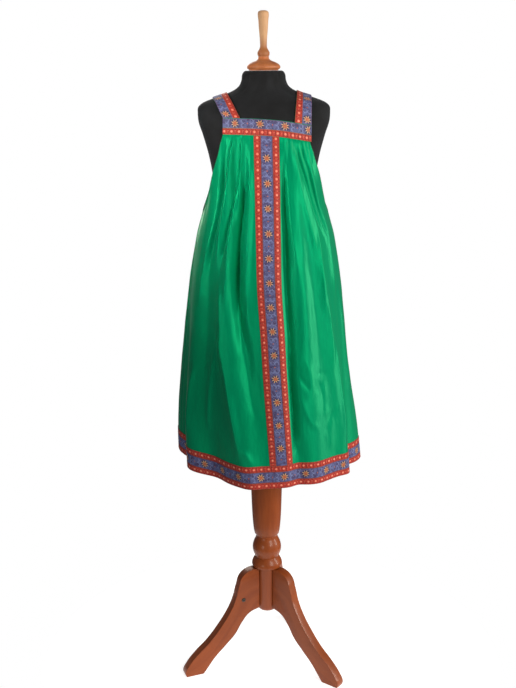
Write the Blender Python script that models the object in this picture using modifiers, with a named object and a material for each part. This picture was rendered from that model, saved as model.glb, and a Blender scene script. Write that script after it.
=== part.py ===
"""Girl's sarafan on a limbless dress form with a turned wooden tripod.

The sarafan is a front and a back panel gathered to straight bands, hung from two straps and
trimmed with a patterned ribbon between two braids down the front and round the hem.
Units are metres, +Z is up, the wearer's front looks along -Y. Left and right are the
wearer's, so the left side is at +X. Angles round the garment are in degrees: 0 at the middle of
the front, positive towards +X, 180 at the middle of the back.
"""

import math
from collections import namedtuple

import bmesh
import bpy
import numpy as np

# ---------------------------------------------------------------- driving dimensions
# The stand's upright axis, off the origin so that the origin is under the middle of the whole object.
AXIS_X = -0.0078
AXIS_Y = -0.0262

# Walls and clearances
CLOTH_WALL = 0.0012
TRIM_WALL = 0.0010
SEAM_GAP = 0.0003
STITCH_INSET = 0.0015     # from a side seam's edge to its stitching
FRONT_EASE = 0.0036       # outer face of the bands off the form, at the front and back
SIDE_EASE = 0.0026        # the same at the sides
STRAP_REST = 0.0018       # outer face of a strap off the shoulder it lies on

# Trims
RIBBON_WIDTH = 0.0235
BRAID_WIDTH = 0.0146
TRIM_WIDTH = RIBBON_WIDTH + 2 * BRAID_WIDTH

# Skirt
BAND_BOTTOM = 1.2550      # seam between the front band and the gathered panel, at the centre front
BACK_BAND_BOTTOM = 1.2480
HEM_HEIGHT = 0.4965
UNDERARM_HEIGHT = 1.0880
SIDE_SEAM = 90.0          # degrees
BAND_END_RIGHT = -40.2
BAND_END_LEFT = 43.4
BACK_BAND_END = 41.0      # either way from the middle of the back

# Bands
BAND_HEIGHT = 0.0330
BAND_BRAID = 0.0132
BAND_RIBBON = 0.0178

# Straps: each edge's angle at the front band, reach from the middle on the shoulder, angle at the back
StrapEdge = namedtuple("StrapEdge", "front_angle shoulder_x back_angle")
STRAP_EDGES = {
    "right": (StrapEdge(BAND_END_RIGHT, -0.1090, -139.0), StrapEdge(-23.3, -0.0785, -155.0)),
    "left": (StrapEdge(25.4, 0.0700, 155.0), StrapEdge(BAND_END_LEFT, 0.1005, 139.0)),
}
STRAP_RIBBON_SHARE = 0.60
STRAP_SWING_HEIGHT = 1.245    # the strap's run over the shoulder is swung round this height

# Gathers under the bands, uneven in depth and length
GATHER_DEPTH = 0.0052
GATHER_SWELL = 0.026      # drop below the band over which they reach their depth
GATHER_LENGTH = 0.150
GATHER_PITCH = 8.2        # degrees
GATHER_START = 11.5       # degrees, beside the centre trim

# Mesh density
BAND_COLUMNS = 20
FRONT_GATHER_COLUMNS = 16
BACK_GATHER_COLUMNS = 14
SIDE_COLUMNS = 9
STRAP_STATIONS = 17
TURNED_STEPS = 24
FORM_STEPS = 28
ROW_SHARES = (0.0, 0.03, 0.07, 0.12, 0.17, 0.23, 0.30, 0.38, 0.47, 0.57, 0.68, 0.79, 0.90, 1.0)

# Stand
COLUMN_RADIUS = 0.0245
LEG_THICKNESS = 0.022
LEG_TURNS = {"leg_left": -38.3, "leg_back": 67.7, "leg_right": 201.7}    # degrees from +X
LEG_EDGE = 0.003
FORM_BOTTOM = 0.8500

# ---------------------------------------------------------------- sections, a row for each height
FormRow = namedtuple("FormRow", "height half_width front back power")
FORM_ROWS = (
    FormRow(0.850, 0.0900, 0.0680, 0.0700, 2.0),
    FormRow(0.858, 0.1080, 0.0820, 0.0860, 2.0),
    FormRow(0.885, 0.1190, 0.0900, 0.0960, 2.0),
    FormRow(0.940, 0.1200, 0.0910, 0.0980, 2.0),
    FormRow(1.060, 0.1010, 0.0810, 0.0790, 2.1),
    FormRow(1.150, 0.1090, 0.0890, 0.0830, 2.2),
    FormRow(1.205, 0.1180, 0.0925, 0.0860, 2.2),
    FormRow(1.250, 0.1300, 0.0915, 0.0870, 2.2),
    FormRow(1.283, 0.1400, 0.0855, 0.0850, 2.2),
    FormRow(1.305, 0.1410, 0.0760, 0.0760, 2.1),
    FormRow(1.319, 0.1290, 0.0660, 0.0660, 2.1),
    FormRow(1.329, 0.1030, 0.0570, 0.0580, 2.0),
    FormRow(1.338, 0.0760, 0.0510, 0.0520, 2.0),
    FormRow(1.349, 0.0560, 0.0470, 0.0480, 2.0),
    FormRow(1.363, 0.0475, 0.0460, 0.0465, 2.0),
    FormRow(1.376, 0.0455, 0.0450, 0.0450, 2.0),
    FormRow(1.3835, 0.0410, 0.0410, 0.0410, 2.0),
)

# front and back are reaches from the stand's axis; the widest place is at centre_x, centre_y
SkirtRow = namedtuple("SkirtRow", "height half_width front back centre_x centre_y power")
SKIRT_ROWS = (
    SkirtRow(0.490, 0.2020, 0.1400, 0.1740, 0.002, 0.045, 2.0),
    SkirtRow(0.600, 0.2000, 0.1390, 0.1680, 0.001, 0.040, 2.0),
    SkirtRow(0.760, 0.1845, 0.1320, 0.1520, 0.000, 0.030, 2.0),
    SkirtRow(0.930, 0.1665, 0.1220, 0.1290, 0.001, 0.018, 2.0),
    SkirtRow(1.030, 0.1495, 0.1140, 0.1130, 0.002, 0.008, 2.1),
    SkirtRow(1.110, 0.1300, 0.1060, 0.1000, 0.002, 0.002, 2.2),
    SkirtRow(1.190, 0.1260, 0.0985, 0.0915, 0.001, 0.000, 2.2),
) + tuple(SkirtRow(row.height, row.half_width + SIDE_EASE, row.front + FRONT_EASE,
                   row.back + FRONT_EASE, 0.0, 0.0, row.power)
          for row in FORM_ROWS if 1.240 < row.height < 1.310)

# How far the middle of the front has swung round, in degrees, by height
TwistRow = namedtuple("TwistRow", "height degrees")
TWIST_ROWS = (TwistRow(0.49, 9.8), TwistRow(0.65, 7.4), TwistRow(0.83, 4.8), TwistRow(0.95, 2.4),
              TwistRow(1.10, 1.8))

# The band's lower edge is lower at the wearer's left end, by angle
SagRow = namedtuple("SagRow", "angle rise")
BAND_SAG_ROWS = (SagRow(-45.0, 0.0015), SagRow(-10.0, 0.0), SagRow(12.0, -0.0040), SagRow(26.0, -0.0090),
                 SagRow(44.0, -0.0160))

# The hem hangs a little higher at the back and right, by angle
HemRow = namedtuple("HemRow", "angle rise")
HEM_ROWS = (HemRow(-180.0, 0.018), HemRow(-110.0, 0.032), HemRow(-85.0, 0.018), HemRow(-65.0, 0.007),
            HemRow(-35.0, 0.0), HemRow(60.0, 0.0), HemRow(100.0, 0.003), HemRow(180.0, 0.018))

# The armhole's edge, from the band's end round to the side seam and down to the underarm
ArmholeRow = namedtuple("ArmholeRow", "share_of_angle share_of_drop")
ARMHOLE_ROWS = (ArmholeRow(0.0, 0.0), ArmholeRow(0.13, 0.20), ArmholeRow(0.32, 0.42),
                ArmholeRow(0.52, 0.65), ArmholeRow(0.72, 0.85), ArmholeRow(0.88, 0.97), ArmholeRow(1.0, 1.0))

# Large folds: where each runs and how far it stands out (+) or sinks in (-), at five heights
FOLD_HEIGHTS = (0.50, 0.70, 0.90, 1.10, 1.24)
Fold = namedtuple("Fold", "angles depths width")
FOLDS = (
    # front
    Fold((-20, -28, -36, -35, -34), (0.010, 0.010, 0.007, 0.003, 0.0), 7.0),
    Fold((-8, -14, -24, -25, -20), (0.000, -0.003, -0.012, -0.007, 0.0), 5.0),
    Fold((11, 13, 14, 16, 17), (-0.010, -0.008, -0.010, -0.006, 0.0), 5.5),
    Fold((25, 25, 26, 27, 28), (0.003, 0.003, 0.004, 0.003, 0.0), 6.0),
    Fold((52, 48, 44, 41, 40), (0.011, 0.008, 0.008, 0.004, 0.0), 6.5),
    Fold((-48, -50, -50, -50, -50), (-0.026, -0.012, -0.005, -0.002, 0.0), 14.0),
    Fold((-69, -70, -64, -62, -60), (0.002, 0.003, 0.003, 0.002, 0.0), 7.0),
    # sides
    Fold((-82, -82, -82, -80, -80), (-0.020, -0.010, -0.003, 0.000, 0.0), 7.0),
    Fold((-103, -102, -101, -100, -100), (0.008, 0.009, 0.006, 0.003, 0.0), 10.0),
    Fold((67, 66, 66, 66, 66), (-0.012, -0.006, -0.002, 0.000, 0.0), 6.0),
    Fold((88, 92, 94, 96, 96), (0.019, 0.004, 0.002, 0.002, 0.0), 12.0),
    Fold((112, 112, 112, 112, 112), (-0.010, -0.008, -0.004, 0.000, 0.0), 8.0),
    # back
    Fold((-128, -129, -132, -136, -140), (-0.013, -0.011, -0.008, -0.003, 0.0), 8.0),
    Fold((-146, -147, -149, -152, -154), (0.012, 0.011, 0.008, 0.004, 0.0), 9.0),
    Fold((-165, -166, -167, -168, -169), (-0.010, -0.010, -0.009, -0.004, 0.0), 6.5),
    Fold((176, 177, 178, 179, 180), (0.010, 0.010, 0.008, 0.004, 0.0), 8.0),
    Fold((158, 160, 163, 164, 165), (-0.012, -0.011, -0.009, -0.004, 0.0), 7.0),
    Fold((136, 138, 144, 148, 150), (0.014, 0.012, 0.008, 0.004, 0.0), 9.0),
)

# Turned outlines from the top down: radius and height
TurnRow = namedtuple("TurnRow", "radius height")
HANDLE_ROWS = (
    TurnRow(0.0000, 1.5050), TurnRow(0.0060, 1.5045), TurnRow(0.0105, 1.5020), TurnRow(0.0116, 1.4970),
    TurnRow(0.0104, 1.4840), TurnRow(0.0094, 1.4680), TurnRow(0.0080, 1.4520), TurnRow(0.0073, 1.4400),
    TurnRow(0.0075, 1.4310), TurnRow(0.0100, 1.4255), TurnRow(0.0126, 1.4210), TurnRow(0.0126, 1.4160),
    TurnRow(0.0112, 1.4125), TurnRow(0.0000, 1.4125),
)
CAP_ROWS = (
    TurnRow(0.0000, 1.4122), TurnRow(0.0112, 1.4122), TurnRow(0.0118, 1.4080), TurnRow(0.0158, 1.4042),
    TurnRow(0.0250, 1.4005), TurnRow(0.0325, 1.3960), TurnRow(0.0350, 1.3925), TurnRow(0.0350, 1.3890),
    TurnRow(0.0335, 1.3868), TurnRow(0.0310, 1.3860), TurnRow(0.0310, 1.3838), TurnRow(0.0000, 1.3838),
)
POLE_ROWS = (
    TurnRow(0.0000, FORM_BOTTOM - SEAM_GAP), TurnRow(0.0300, FORM_BOTTOM - SEAM_GAP),
    TurnRow(0.0300, 0.8380), TurnRow(0.0225, 0.8320), TurnRow(0.0225, 0.6000), TurnRow(0.0270, 0.5900),
    TurnRow(0.0270, 0.5800), TurnRow(0.0250, 0.5740), TurnRow(0.0320, 0.5200), TurnRow(0.0360, 0.4600),
    TurnRow(0.0352, 0.4200), TurnRow(0.0340, 0.3850), TurnRow(0.0325, 0.3600), TurnRow(0.0305, 0.3400),
    TurnRow(0.0285, 0.3300), TurnRow(0.0252, 0.3255), TurnRow(0.0252, 0.3225), TurnRow(0.0000, 0.3225),
)
COLUMN_ROWS = (
    TurnRow(0.0000, 0.3222), TurnRow(0.0252, 0.3222), TurnRow(0.0262, 0.3180), TurnRow(0.0308, 0.3080),
    TurnRow(0.0334, 0.2960), TurnRow(0.0325, 0.2850), TurnRow(0.0295, 0.2760), TurnRow(0.0273, 0.2710),
    TurnRow(0.0315, 0.2650), TurnRow(0.0348, 0.2580), TurnRow(0.0358, 0.2520), TurnRow(0.0350, 0.2475),
    TurnRow(COLUMN_RADIUS, 0.2462), TurnRow(COLUMN_RADIUS, 0.1420), TurnRow(0.0205, 0.1355),
    TurnRow(0.0120, 0.1318), TurnRow(0.0000, 0.1310),
)

# One leg's outline seen from its side, round from the top of the hub: reach, height, corner or curve
LegPoint = namedtuple("LegPoint", "reach height corner")
LEG_START = COLUMN_RADIUS + SEAM_GAP
LEG_POINTS = (
    LegPoint(LEG_START, 0.2440, True), LegPoint(0.0440, 0.2440, False), LegPoint(0.0660, 0.2310, False),
    LegPoint(0.0765, 0.2040, False), LegPoint(0.0850, 0.1740, False), LegPoint(0.1000, 0.1430, False),
    LegPoint(0.1240, 0.1090, False), LegPoint(0.1500, 0.0790, False), LegPoint(0.1810, 0.0520, False),
    LegPoint(0.2030, 0.0280, False), LegPoint(0.2125, 0.0100, False), LegPoint(0.2100, 0.0000, True),
    LegPoint(0.1680, 0.0000, True), LegPoint(0.1540, 0.0180, False), LegPoint(0.1385, 0.0370, False),
    LegPoint(0.1110, 0.0630, False), LegPoint(0.0870, 0.0870, False), LegPoint(0.0690, 0.1150, False),
    LegPoint(0.0500, 0.1350, False), LegPoint(LEG_START, 0.1440, True),
)

# Looks, with colours as linear RGB
Look = namedtuple("Look", "colour roughness")
LOOKS = {
    "satin": Look((0.000, 0.300, 0.100), 0.35),
    "ribbon": Look((0.085, 0.110, 0.420), 0.60),
    "braid": Look((0.560, 0.030, 0.025), 0.65),
    "form": Look((0.012, 0.012, 0.014), 0.90),
    "wood": Look((0.280, 0.070, 0.022), 0.35),
    "handle": Look((0.430, 0.190, 0.070), 0.40),
}


# ---------------------------------------------------------------- curves through the tables
def monotone_curve(stations, values):
    """Smooth curve through rising stations that never overshoots its values."""
    xs, ys = np.asarray(stations, float), np.asarray(values, float)
    steps, slopes = np.diff(xs), np.diff(ys) / np.diff(xs)
    tangents = np.concatenate(([slopes[0]], (slopes[:-1] + slopes[1:]) / 2, [slopes[-1]]))
    for k, slope in enumerate(slopes):
        limit = 3 * abs(slope)
        for end in (k, k + 1):
            same_way = tangents[end] * slope > 0
            tangents[end] = math.copysign(min(abs(tangents[end]), limit), slope) if same_way else 0.0

    def curve(x):
        x = np.clip(x, xs[0], xs[-1])
        k = np.clip(np.searchsorted(xs, x, side="right") - 1, 0, len(steps) - 1)
        t = (x - xs[k]) / steps[k]
        rise = t * t * (3 - 2 * t)
        return (ys[k] + (ys[k + 1] - ys[k]) * rise
                + steps[k] * t * (1 - t) * ((1 - t) * tangents[k] - t * tangents[k + 1]))

    return curve


def columns_of(rows):
    """One curve for each column of a table, against its first column."""
    stations = [row[0] for row in rows]
    return {name: monotone_curve(stations, [row[k] for row in rows])
            for k, name in enumerate(rows[0]._fields) if k > 0}


FORM = columns_of(FORM_ROWS)
SKIRT = columns_of(SKIRT_ROWS)
TWIST = columns_of(TWIST_ROWS)["degrees"]
BAND_SAG = columns_of(BAND_SAG_ROWS)["rise"]
HEM_RISE = columns_of(HEM_ROWS)["rise"]
ARMHOLE = columns_of(ARMHOLE_ROWS)["share_of_drop"]
FOLD_PATHS = [(monotone_curve(FOLD_HEIGHTS, fold.angles), monotone_curve(FOLD_HEIGHTS, fold.depths),
               fold.width) for fold in FOLDS]


def section(angle, half_width, front, back, power):
    """Point and outward normal of a superellipse section, seen in plan."""
    s, c = np.sin(angle), np.cos(angle)
    reach = (np.abs(s) ** power + np.abs(c) ** power) ** (-1 / power)
    depth = np.where(c > 0, front, back)
    x, y = half_width * reach * s, -depth * reach * c
    nx = np.sign(x) * np.abs(x / half_width) ** (power - 1) / half_width
    ny = np.sign(y) * np.abs(y / depth) ** (power - 1) / depth
    size = np.hypot(nx, ny)
    return x, y, nx / size, ny / size


# ---------------------------------------------------------------- the cloth's surface
def turn_between(angle, centre):
    """Signed turn from centre to angle, in degrees, the short way round."""
    return (angle - centre + 180.0) % 360.0 - 180.0


def large_folds(angle, height):
    """Relief of the hanging folds."""
    relief = np.zeros(np.broadcast(angle, height).shape)
    for path, depth, width in FOLD_PATHS:
        relief += depth(height) * np.exp(-(turn_between(angle, path(height)) / width) ** 2)
    return relief


def from_middle(angle):
    """Angle from the middle of the front or of the back, whichever is nearer."""
    return np.where(np.abs(angle) <= SIDE_SEAM, np.abs(angle), 180 - np.abs(angle))


def gathers(angle, drop):
    """Relief of the small gathers, which start at a band and die out below it."""
    front = np.abs(angle) <= SIDE_SEAM
    side = np.where(angle < 0, -1.0, 1.0)
    away = from_middle(angle)
    count = np.where(front, away - GATHER_START, away) / GATHER_PITCH
    count = count + 0.12 * np.sin(2.4 * count + side)
    uneven = 1.0 + 0.25 * np.sin(1.9 * count + 2.0 * side)
    length = GATHER_LENGTH * (1.0 + 0.25 * np.sin(2.7 * count + side))
    swell = np.clip(drop / GATHER_SWELL, 0, 1) * np.exp(-(np.maximum(drop, 0) / length) ** 2)
    beside_trim = np.where(front, np.clip((away - GATHER_START + 1) / 3, 0, 1), 1)
    to_seam = np.clip((SIDE_SEAM - 3 - away) / 25, 0, 1)
    wave = 0.5 - 0.5 * np.cos(2 * math.pi * count)
    return GATHER_DEPTH * uneven * swell * beside_trim * to_seam * wave


def band_seam(angle):
    """Height of the seam between a band and its gathered panel."""
    return np.where(np.abs(angle) <= SIDE_SEAM, BAND_BOTTOM + BAND_SAG(angle), BACK_BAND_BOTTOM)


def top_edge(angle):
    """Height of the panels' upper edge: the band's seam, then the armhole down to the side seam."""
    end = np.where(np.abs(angle) > SIDE_SEAM, BACK_BAND_END,
                   np.where(angle < 0, -BAND_END_RIGHT, BAND_END_LEFT))
    share = np.clip((from_middle(angle) - end) / (SIDE_SEAM - end), 0, 1)
    seam = band_seam(angle)
    return seam - (seam - UNDERARM_HEIGHT) * ARMHOLE(share)


def skirt_points(angle, height, relief=True):
    """Points on the outer face of the garment."""
    angle, height = np.broadcast_arrays(np.asarray(angle, float), np.asarray(height, float))
    swung = np.radians(angle + TWIST(height) * (1 + np.cos(np.radians(angle))) / 2)
    rows = {name: curve(height) for name, curve in SKIRT.items()}
    x, y, nx, ny = section(swung, rows["half_width"], rows["front"] + rows["centre_y"],
                           rows["back"] - rows["centre_y"], rows["power"])
    out = np.zeros(angle.shape)
    if relief:
        out = large_folds(angle, height) + gathers(angle, band_seam(angle) - height)
    return np.stack([rows["centre_x"] + x + nx * out, rows["centre_y"] + y + ny * out, height], axis=-1)


def grid_normals(grid, closed=False):
    """Outward normals of a grid whose columns run towards +X at the front and rows run down."""
    if closed:
        padded = np.concatenate([grid[:, -2:-1], grid, grid[:, 1:2]], axis=1)
        across = np.gradient(padded, axis=1)[:, 1:-1]
    else:
        across = np.gradient(grid, axis=1)
    normals = np.cross(np.gradient(grid, axis=0), across)
    return normals / np.linalg.norm(normals, axis=-1, keepdims=True)


# ---------------------------------------------------------------- scene set-up
def clear_scene():
    """Remove every object already in the file."""
    for item in list(bpy.data.objects):
        bpy.data.objects.remove(item, do_unlink=True)


def make_material(name, look):
    """Principled material of one colour."""
    material = bpy.data.materials.new(name)
    material.use_nodes = True
    shader = material.node_tree.nodes["Principled BSDF"]
    shader.inputs["Base Color"].default_value = (*look.colour, 1.0)
    shader.inputs["Roughness"].default_value = look.roughness
    material.diffuse_color = (*look.colour, 1.0)
    return material


# ---------------------------------------------------------------- cloth pieces
def sheet_object(name, grid, wall, outward):
    """Grid bent to the given points, with a wall added outwards or inwards."""
    rows, columns = grid.shape[:2]
    sheet = bmesh.new()
    bmesh.ops.create_grid(sheet, x_segments=columns - 1, y_segments=rows - 1, size=1.0)
    for vertex in sheet.verts:
        column = round((vertex.co.x + 1) / 2 * (columns - 1))
        row = round((1 - vertex.co.y) / 2 * (rows - 1))
        vertex.co = grid[row, column]
    if np.allclose(grid[:, 0], grid[:, -1]):
        bmesh.ops.remove_doubles(sheet, verts=sheet.verts, dist=1e-6)
    mesh = bpy.data.meshes.new(name)
    sheet.to_mesh(mesh)
    sheet.free()
    mesh.shade_smooth()
    item = bpy.data.objects.new(name, mesh)
    solidify = item.modifiers.new("wall", "SOLIDIFY")
    solidify.thickness = wall
    solidify.offset = 1.0 if outward else -1.0
    solidify.use_even_offset = True
    return item


def trim_from(grid, closed=False, shrink_rows=0.0, shrink_columns=0.0):
    """Points of a trim that lies on a grid: moved out by a seam gap and drawn in at its edges."""
    lifted = grid + grid_normals(grid, closed) * SEAM_GAP
    if shrink_rows:
        run = np.linalg.norm(lifted[1] - lifted[0], axis=-1, keepdims=True)
        lifted[0] += (lifted[1] - lifted[0]) * shrink_rows / run
        run = np.linalg.norm(lifted[-2] - lifted[-1], axis=-1, keepdims=True)
        lifted[-1] += (lifted[-2] - lifted[-1]) * shrink_rows / run
    if shrink_columns:
        run = np.linalg.norm(lifted[:, 1] - lifted[:, 0], axis=-1, keepdims=True)
        lifted[:, 0] += (lifted[:, 1] - lifted[:, 0]) * shrink_columns / run
        run = np.linalg.norm(lifted[:, -2] - lifted[:, -1], axis=-1, keepdims=True)
        lifted[:, -1] += (lifted[:, -2] - lifted[:, -1]) * shrink_columns / run
    return lifted


def panel_grid(angles_at):
    """Points of a panel: columns at the angles given for each height, rows down to the hem."""
    rises = (TRIM_WIDTH, BRAID_WIDTH + RIBBON_WIDTH, BRAID_WIDTH, 0.0)
    guide = angles_at(BAND_BOTTOM)
    top = top_edge(guide) - SEAM_GAP
    hem = HEM_HEIGHT + HEM_RISE(guide)
    heights = [top + (hem + rises[0] - top) * share for share in ROW_SHARES[:-1]]
    heights += [hem + rise for rise in rises]
    return np.array([skirt_points(angles_at(np.mean(row)), row) for row in heights])


def towards_seam(start, half_width):
    """Columns from a band's end to the side seam, the last two close together along the stitching."""
    seam = SIDE_SEAM - math.degrees(SEAM_GAP / 2 / half_width)
    stitching = seam - math.degrees(STITCH_INSET / half_width)
    return np.append(np.linspace(start, stitching, SIDE_COLUMNS + 1)[1:], seam)


def front_angles(height):
    """Columns of the front panel: the trim's own edges, the gathers, then out to the side seams."""
    half_width = SKIRT["half_width"](height)
    ribbon = math.degrees(math.asin(RIBBON_WIDTH / 2 / half_width))
    trim = math.degrees(math.asin(TRIM_WIDTH / 2 / half_width))
    sides = []
    for end in (BAND_END_RIGHT, BAND_END_LEFT):
        gathered = np.linspace(trim, abs(end), FRONT_GATHER_COLUMNS + 1)
        sides.append(np.concatenate(([ribbon], gathered, towards_seam(abs(end), half_width))))
    return np.concatenate((-sides[0][::-1], [0.0], sides[1]))


def back_angles(height):
    """Columns of the back panel, from the left side seam round the back to the right one."""
    gathered = np.linspace(0.0, BACK_BAND_END, BACK_GATHER_COLUMNS + 1)
    away = np.concatenate((gathered, towards_seam(BACK_BAND_END, SKIRT["half_width"](height))))
    left = 180.0 - away[::-1]
    right = away[1:] - 180.0
    return np.concatenate((left, right))


def add_panels_and_trims(add):
    """Front and back panels with the centre trim and the hem trim that lie on them."""
    front = panel_grid(front_angles)
    back = panel_grid(back_angles)
    add(sheet_object("skirt_front", front, CLOTH_WALL, outward=False), "satin")
    add(sheet_object("skirt_back", back, CLOTH_WALL, outward=False), "satin")

    middle = front.shape[1] // 2
    half_gap = SEAM_GAP / 2
    down_to_hem_trim = front[:len(ROW_SHARES)]
    for name, first, last, material in (("centre_braid_right", -2, -1, "braid"),
                                        ("centre_ribbon", -1, 1, "ribbon"),
                                        ("centre_braid_left", 1, 2, "braid")):
        strip = down_to_hem_trim[:, middle + first:middle + last + 1]
        strip = trim_from(strip, shrink_rows=half_gap, shrink_columns=half_gap)
        add(sheet_object(name, strip, TRIM_WALL, outward=True), material)

    hem = np.concatenate((front[-4:], back[-4:], front[-4:, :1]), axis=1)
    for row, (name, material) in enumerate((("hem_braid_upper", "braid"), ("hem_ribbon", "ribbon"),
                                            ("hem_braid_lower", "braid"))):
        strip = trim_from(hem[row:row + 2], closed=True, shrink_rows=half_gap)
        add(sheet_object(name, strip, TRIM_WALL, outward=True), material)


def upright(angles, height):
    """Angles that keep the band's columns upright where the section is wider or narrower."""
    half_width = SKIRT["half_width"]
    share = np.sin(np.radians(angles)) * half_width(BAND_BOTTOM) / half_width(height)
    ahead = np.degrees(np.arcsin(share))
    return np.where(np.abs(angles) <= SIDE_SEAM, ahead, np.sign(angles) * 180 - ahead)


def band_points(angles, seam, rise):
    """Points of a band at a rise above its seam."""
    height = seam + rise
    return skirt_points(upright(angles, height), height, relief=False)


def add_bands(add):
    """Bands above the gathers: satin front and back, with ribbon and braid on the front."""
    angles = np.linspace(BAND_END_RIGHT, BAND_END_LEFT, BAND_COLUMNS + 1)
    rises = (BAND_HEIGHT, BAND_BRAID + BAND_RIBBON, BAND_BRAID, 0.0)
    front = np.array([band_points(angles, band_seam(angles), rise) for rise in rises])
    add(sheet_object("band_front", front, CLOTH_WALL, outward=False), "satin")
    for row, (name, material) in ((1, ("band_ribbon", "ribbon")), (2, ("band_braid", "braid"))):
        strip = trim_from(front[row:row + 2], shrink_rows=SEAM_GAP / 2)
        add(sheet_object(name, strip, TRIM_WALL, outward=True), material)

    away = np.linspace(180.0 - BACK_BAND_END, 180.0 + BACK_BAND_END, BAND_COLUMNS + 1)
    angles = np.where(away > 180.0, away - 360.0, away)
    back = np.array([band_points(angles, BACK_BAND_BOTTOM, rise)
                     for rise in (BAND_HEIGHT, BAND_HEIGHT / 2, 0.0)])
    add(sheet_object("band_back", back, CLOTH_WALL, outward=False), "satin")


# ---------------------------------------------------------------- straps
def inside_form(x, y, z):
    """Whether a point lies inside the form."""
    if not FORM_ROWS[0].height < z < FORM_ROWS[-1].height:
        return False
    depth = FORM["front"](z) if y < 0 else FORM["back"](z)
    power = FORM["power"](z)
    return (abs(x) / FORM["half_width"](z)) ** power + (abs(y) / depth) ** power < 1


def form_reach(x, swing):
    """Distance from the swing line to the form's surface, along one direction over the shoulder."""
    near, far = 0.0, 0.2
    for _ in range(30):
        middle = (near + far) / 2
        y, z = -middle * math.cos(swing), STRAP_SWING_HEIGHT + middle * math.sin(swing)
        if inside_form(x, y, z):
            near = middle
        else:
            far = middle
    return near


def strap_line(front_end, shoulder_x, back_end):
    """Points of one lengthwise line of a strap, from the back band over the shoulder to the front."""
    ends = []
    for x, y, z in (front_end, back_end):
        swing = math.atan2(z - STRAP_SWING_HEIGHT, -y)
        reach = math.hypot(y, z - STRAP_SWING_HEIGHT)
        ends.append((x, swing, reach - form_reach(x, swing) - STRAP_REST))
    (front_x, front_swing, front_lift), (back_x, back_swing, back_lift) = ends
    line = []
    for share in np.linspace(1.0, 0.0, STRAP_STATIONS):
        swing = front_swing + (back_swing - front_swing) * share
        over = math.sin(math.pi * share)
        x = (front_x + (back_x - front_x) * share) * (1 - over) + shoulder_x * over
        lift = STRAP_REST + front_lift * (1 - share) ** 3 + back_lift * share ** 3
        reach = form_reach(x, swing) + lift
        line.append((x, -reach * math.cos(swing), STRAP_SWING_HEIGHT + reach * math.sin(swing)))
    return line


def add_straps(add):
    """Straps from band to band, each with a ribbon on its outer part and a braid on its inner part."""
    split = STRAP_RIBBON_SHARE
    for side, edges in STRAP_EDGES.items():
        shares = np.array((0.0, split / 2, split, (1 + split) / 2, 1.0))
        if side == "left":
            shares = 1 - shares[::-1]
        lines = []
        for share in shares:
            front_angle, shoulder_x, back_angle = (a + (b - a) * share for a, b in zip(*edges))
            above_band = BAND_HEIGHT + SEAM_GAP
            lines.append(strap_line(band_points(front_angle, band_seam(front_angle), above_band),
                                    shoulder_x, band_points(back_angle, BACK_BAND_BOTTOM, above_band)))
        grid = np.array(lines).swapaxes(0, 1)
        add(sheet_object("strap_" + side, grid, CLOTH_WALL, outward=False), "satin")
        outer = slice(0, 3) if side == "right" else slice(2, 5)
        inner = slice(2, 5) if side == "right" else slice(0, 3)
        for name, part, material in (("ribbon", outer, "ribbon"), ("braid", inner, "braid")):
            strip = trim_from(grid[:, part], shrink_columns=SEAM_GAP / 2)
            add(sheet_object("strap_%s_%s" % (name, side), strip, TRIM_WALL, outward=True), material)


# ---------------------------------------------------------------- form and stand
def form_object():
    """Smooth limbless torso with its neck, lofted through the form's sections."""
    heights = [row.height for row in FORM_ROWS]
    heights += [(low + high) / 2 for low, high in zip(heights, heights[1:]) if high - low > 0.03]
    body = bmesh.new()
    rings = []
    for height in sorted(heights):
        angles = np.linspace(0, 2 * math.pi, FORM_STEPS, endpoint=False)
        x, y, _, _ = section(angles, *(FORM[name](height) for name in FormRow._fields[1:]))
        rings.append([body.verts.new((px, py, height)) for px, py in zip(x, y)])
    for lower, upper in zip(rings, rings[1:]):
        for k in range(FORM_STEPS):
            after = (k + 1) % FORM_STEPS
            body.faces.new((lower[k], lower[after], upper[after], upper[k]))
    body.faces.new(rings[0][::-1])
    body.faces.new(rings[-1])
    mesh = bpy.data.meshes.new("form_torso")
    body.to_mesh(mesh)
    body.free()
    mesh.shade_smooth()
    mesh.set_sharp_from_angle(angle=math.radians(50))
    return bpy.data.objects.new("form_torso", mesh)


def turned_object(name, rows):
    """Solid turned about the stand's axis from an outline that runs from the top down."""
    outline = bmesh.new()
    corners = [outline.verts.new((row.radius, 0.0, row.height)) for row in rows]
    for upper, lower in zip(corners, corners[1:]):
        outline.edges.new((upper, lower))
    mesh = bpy.data.meshes.new(name)
    outline.to_mesh(mesh)
    outline.free()
    item = bpy.data.objects.new(name, mesh)
    screw = item.modifiers.new("turn", "SCREW")
    screw.axis = "Z"
    screw.steps = TURNED_STEPS
    screw.render_steps = TURNED_STEPS
    screw.use_merge_vertices = True
    screw.merge_threshold = 0.00001
    screw.use_smooth_shade = True
    return item


def leg_object(name, turn):
    """Curved board leg: its side outline as a flat curve, given thickness and eased edges."""
    outline = bpy.data.curves.new(name, "CURVE")
    outline.dimensions = "2D"
    outline.fill_mode = "BOTH"
    outline.extrude = LEG_THICKNESS / 2
    outline.resolution_u = 2
    spline = outline.splines.new("BEZIER")
    spline.bezier_points.add(len(LEG_POINTS) - 1)
    for point, row in zip(spline.bezier_points, LEG_POINTS):
        point.co = (row.reach, row.height, 0.0)
        point.handle_left_type = "VECTOR" if row.corner else "AUTO"
        point.handle_right_type = "VECTOR" if row.corner else "AUTO"
    spline.use_cyclic_u = True
    item = bpy.data.objects.new(name, outline)
    item.rotation_euler = (math.pi / 2, 0.0, turn)
    weld = item.modifiers.new("weld", "WELD")
    weld.merge_threshold = 0.00001
    bevel = item.modifiers.new("edges", "BEVEL")
    bevel.width = LEG_EDGE
    bevel.segments = 1
    bevel.limit_method = "ANGLE"
    bevel.angle_limit = math.radians(60)
    return item


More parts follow.
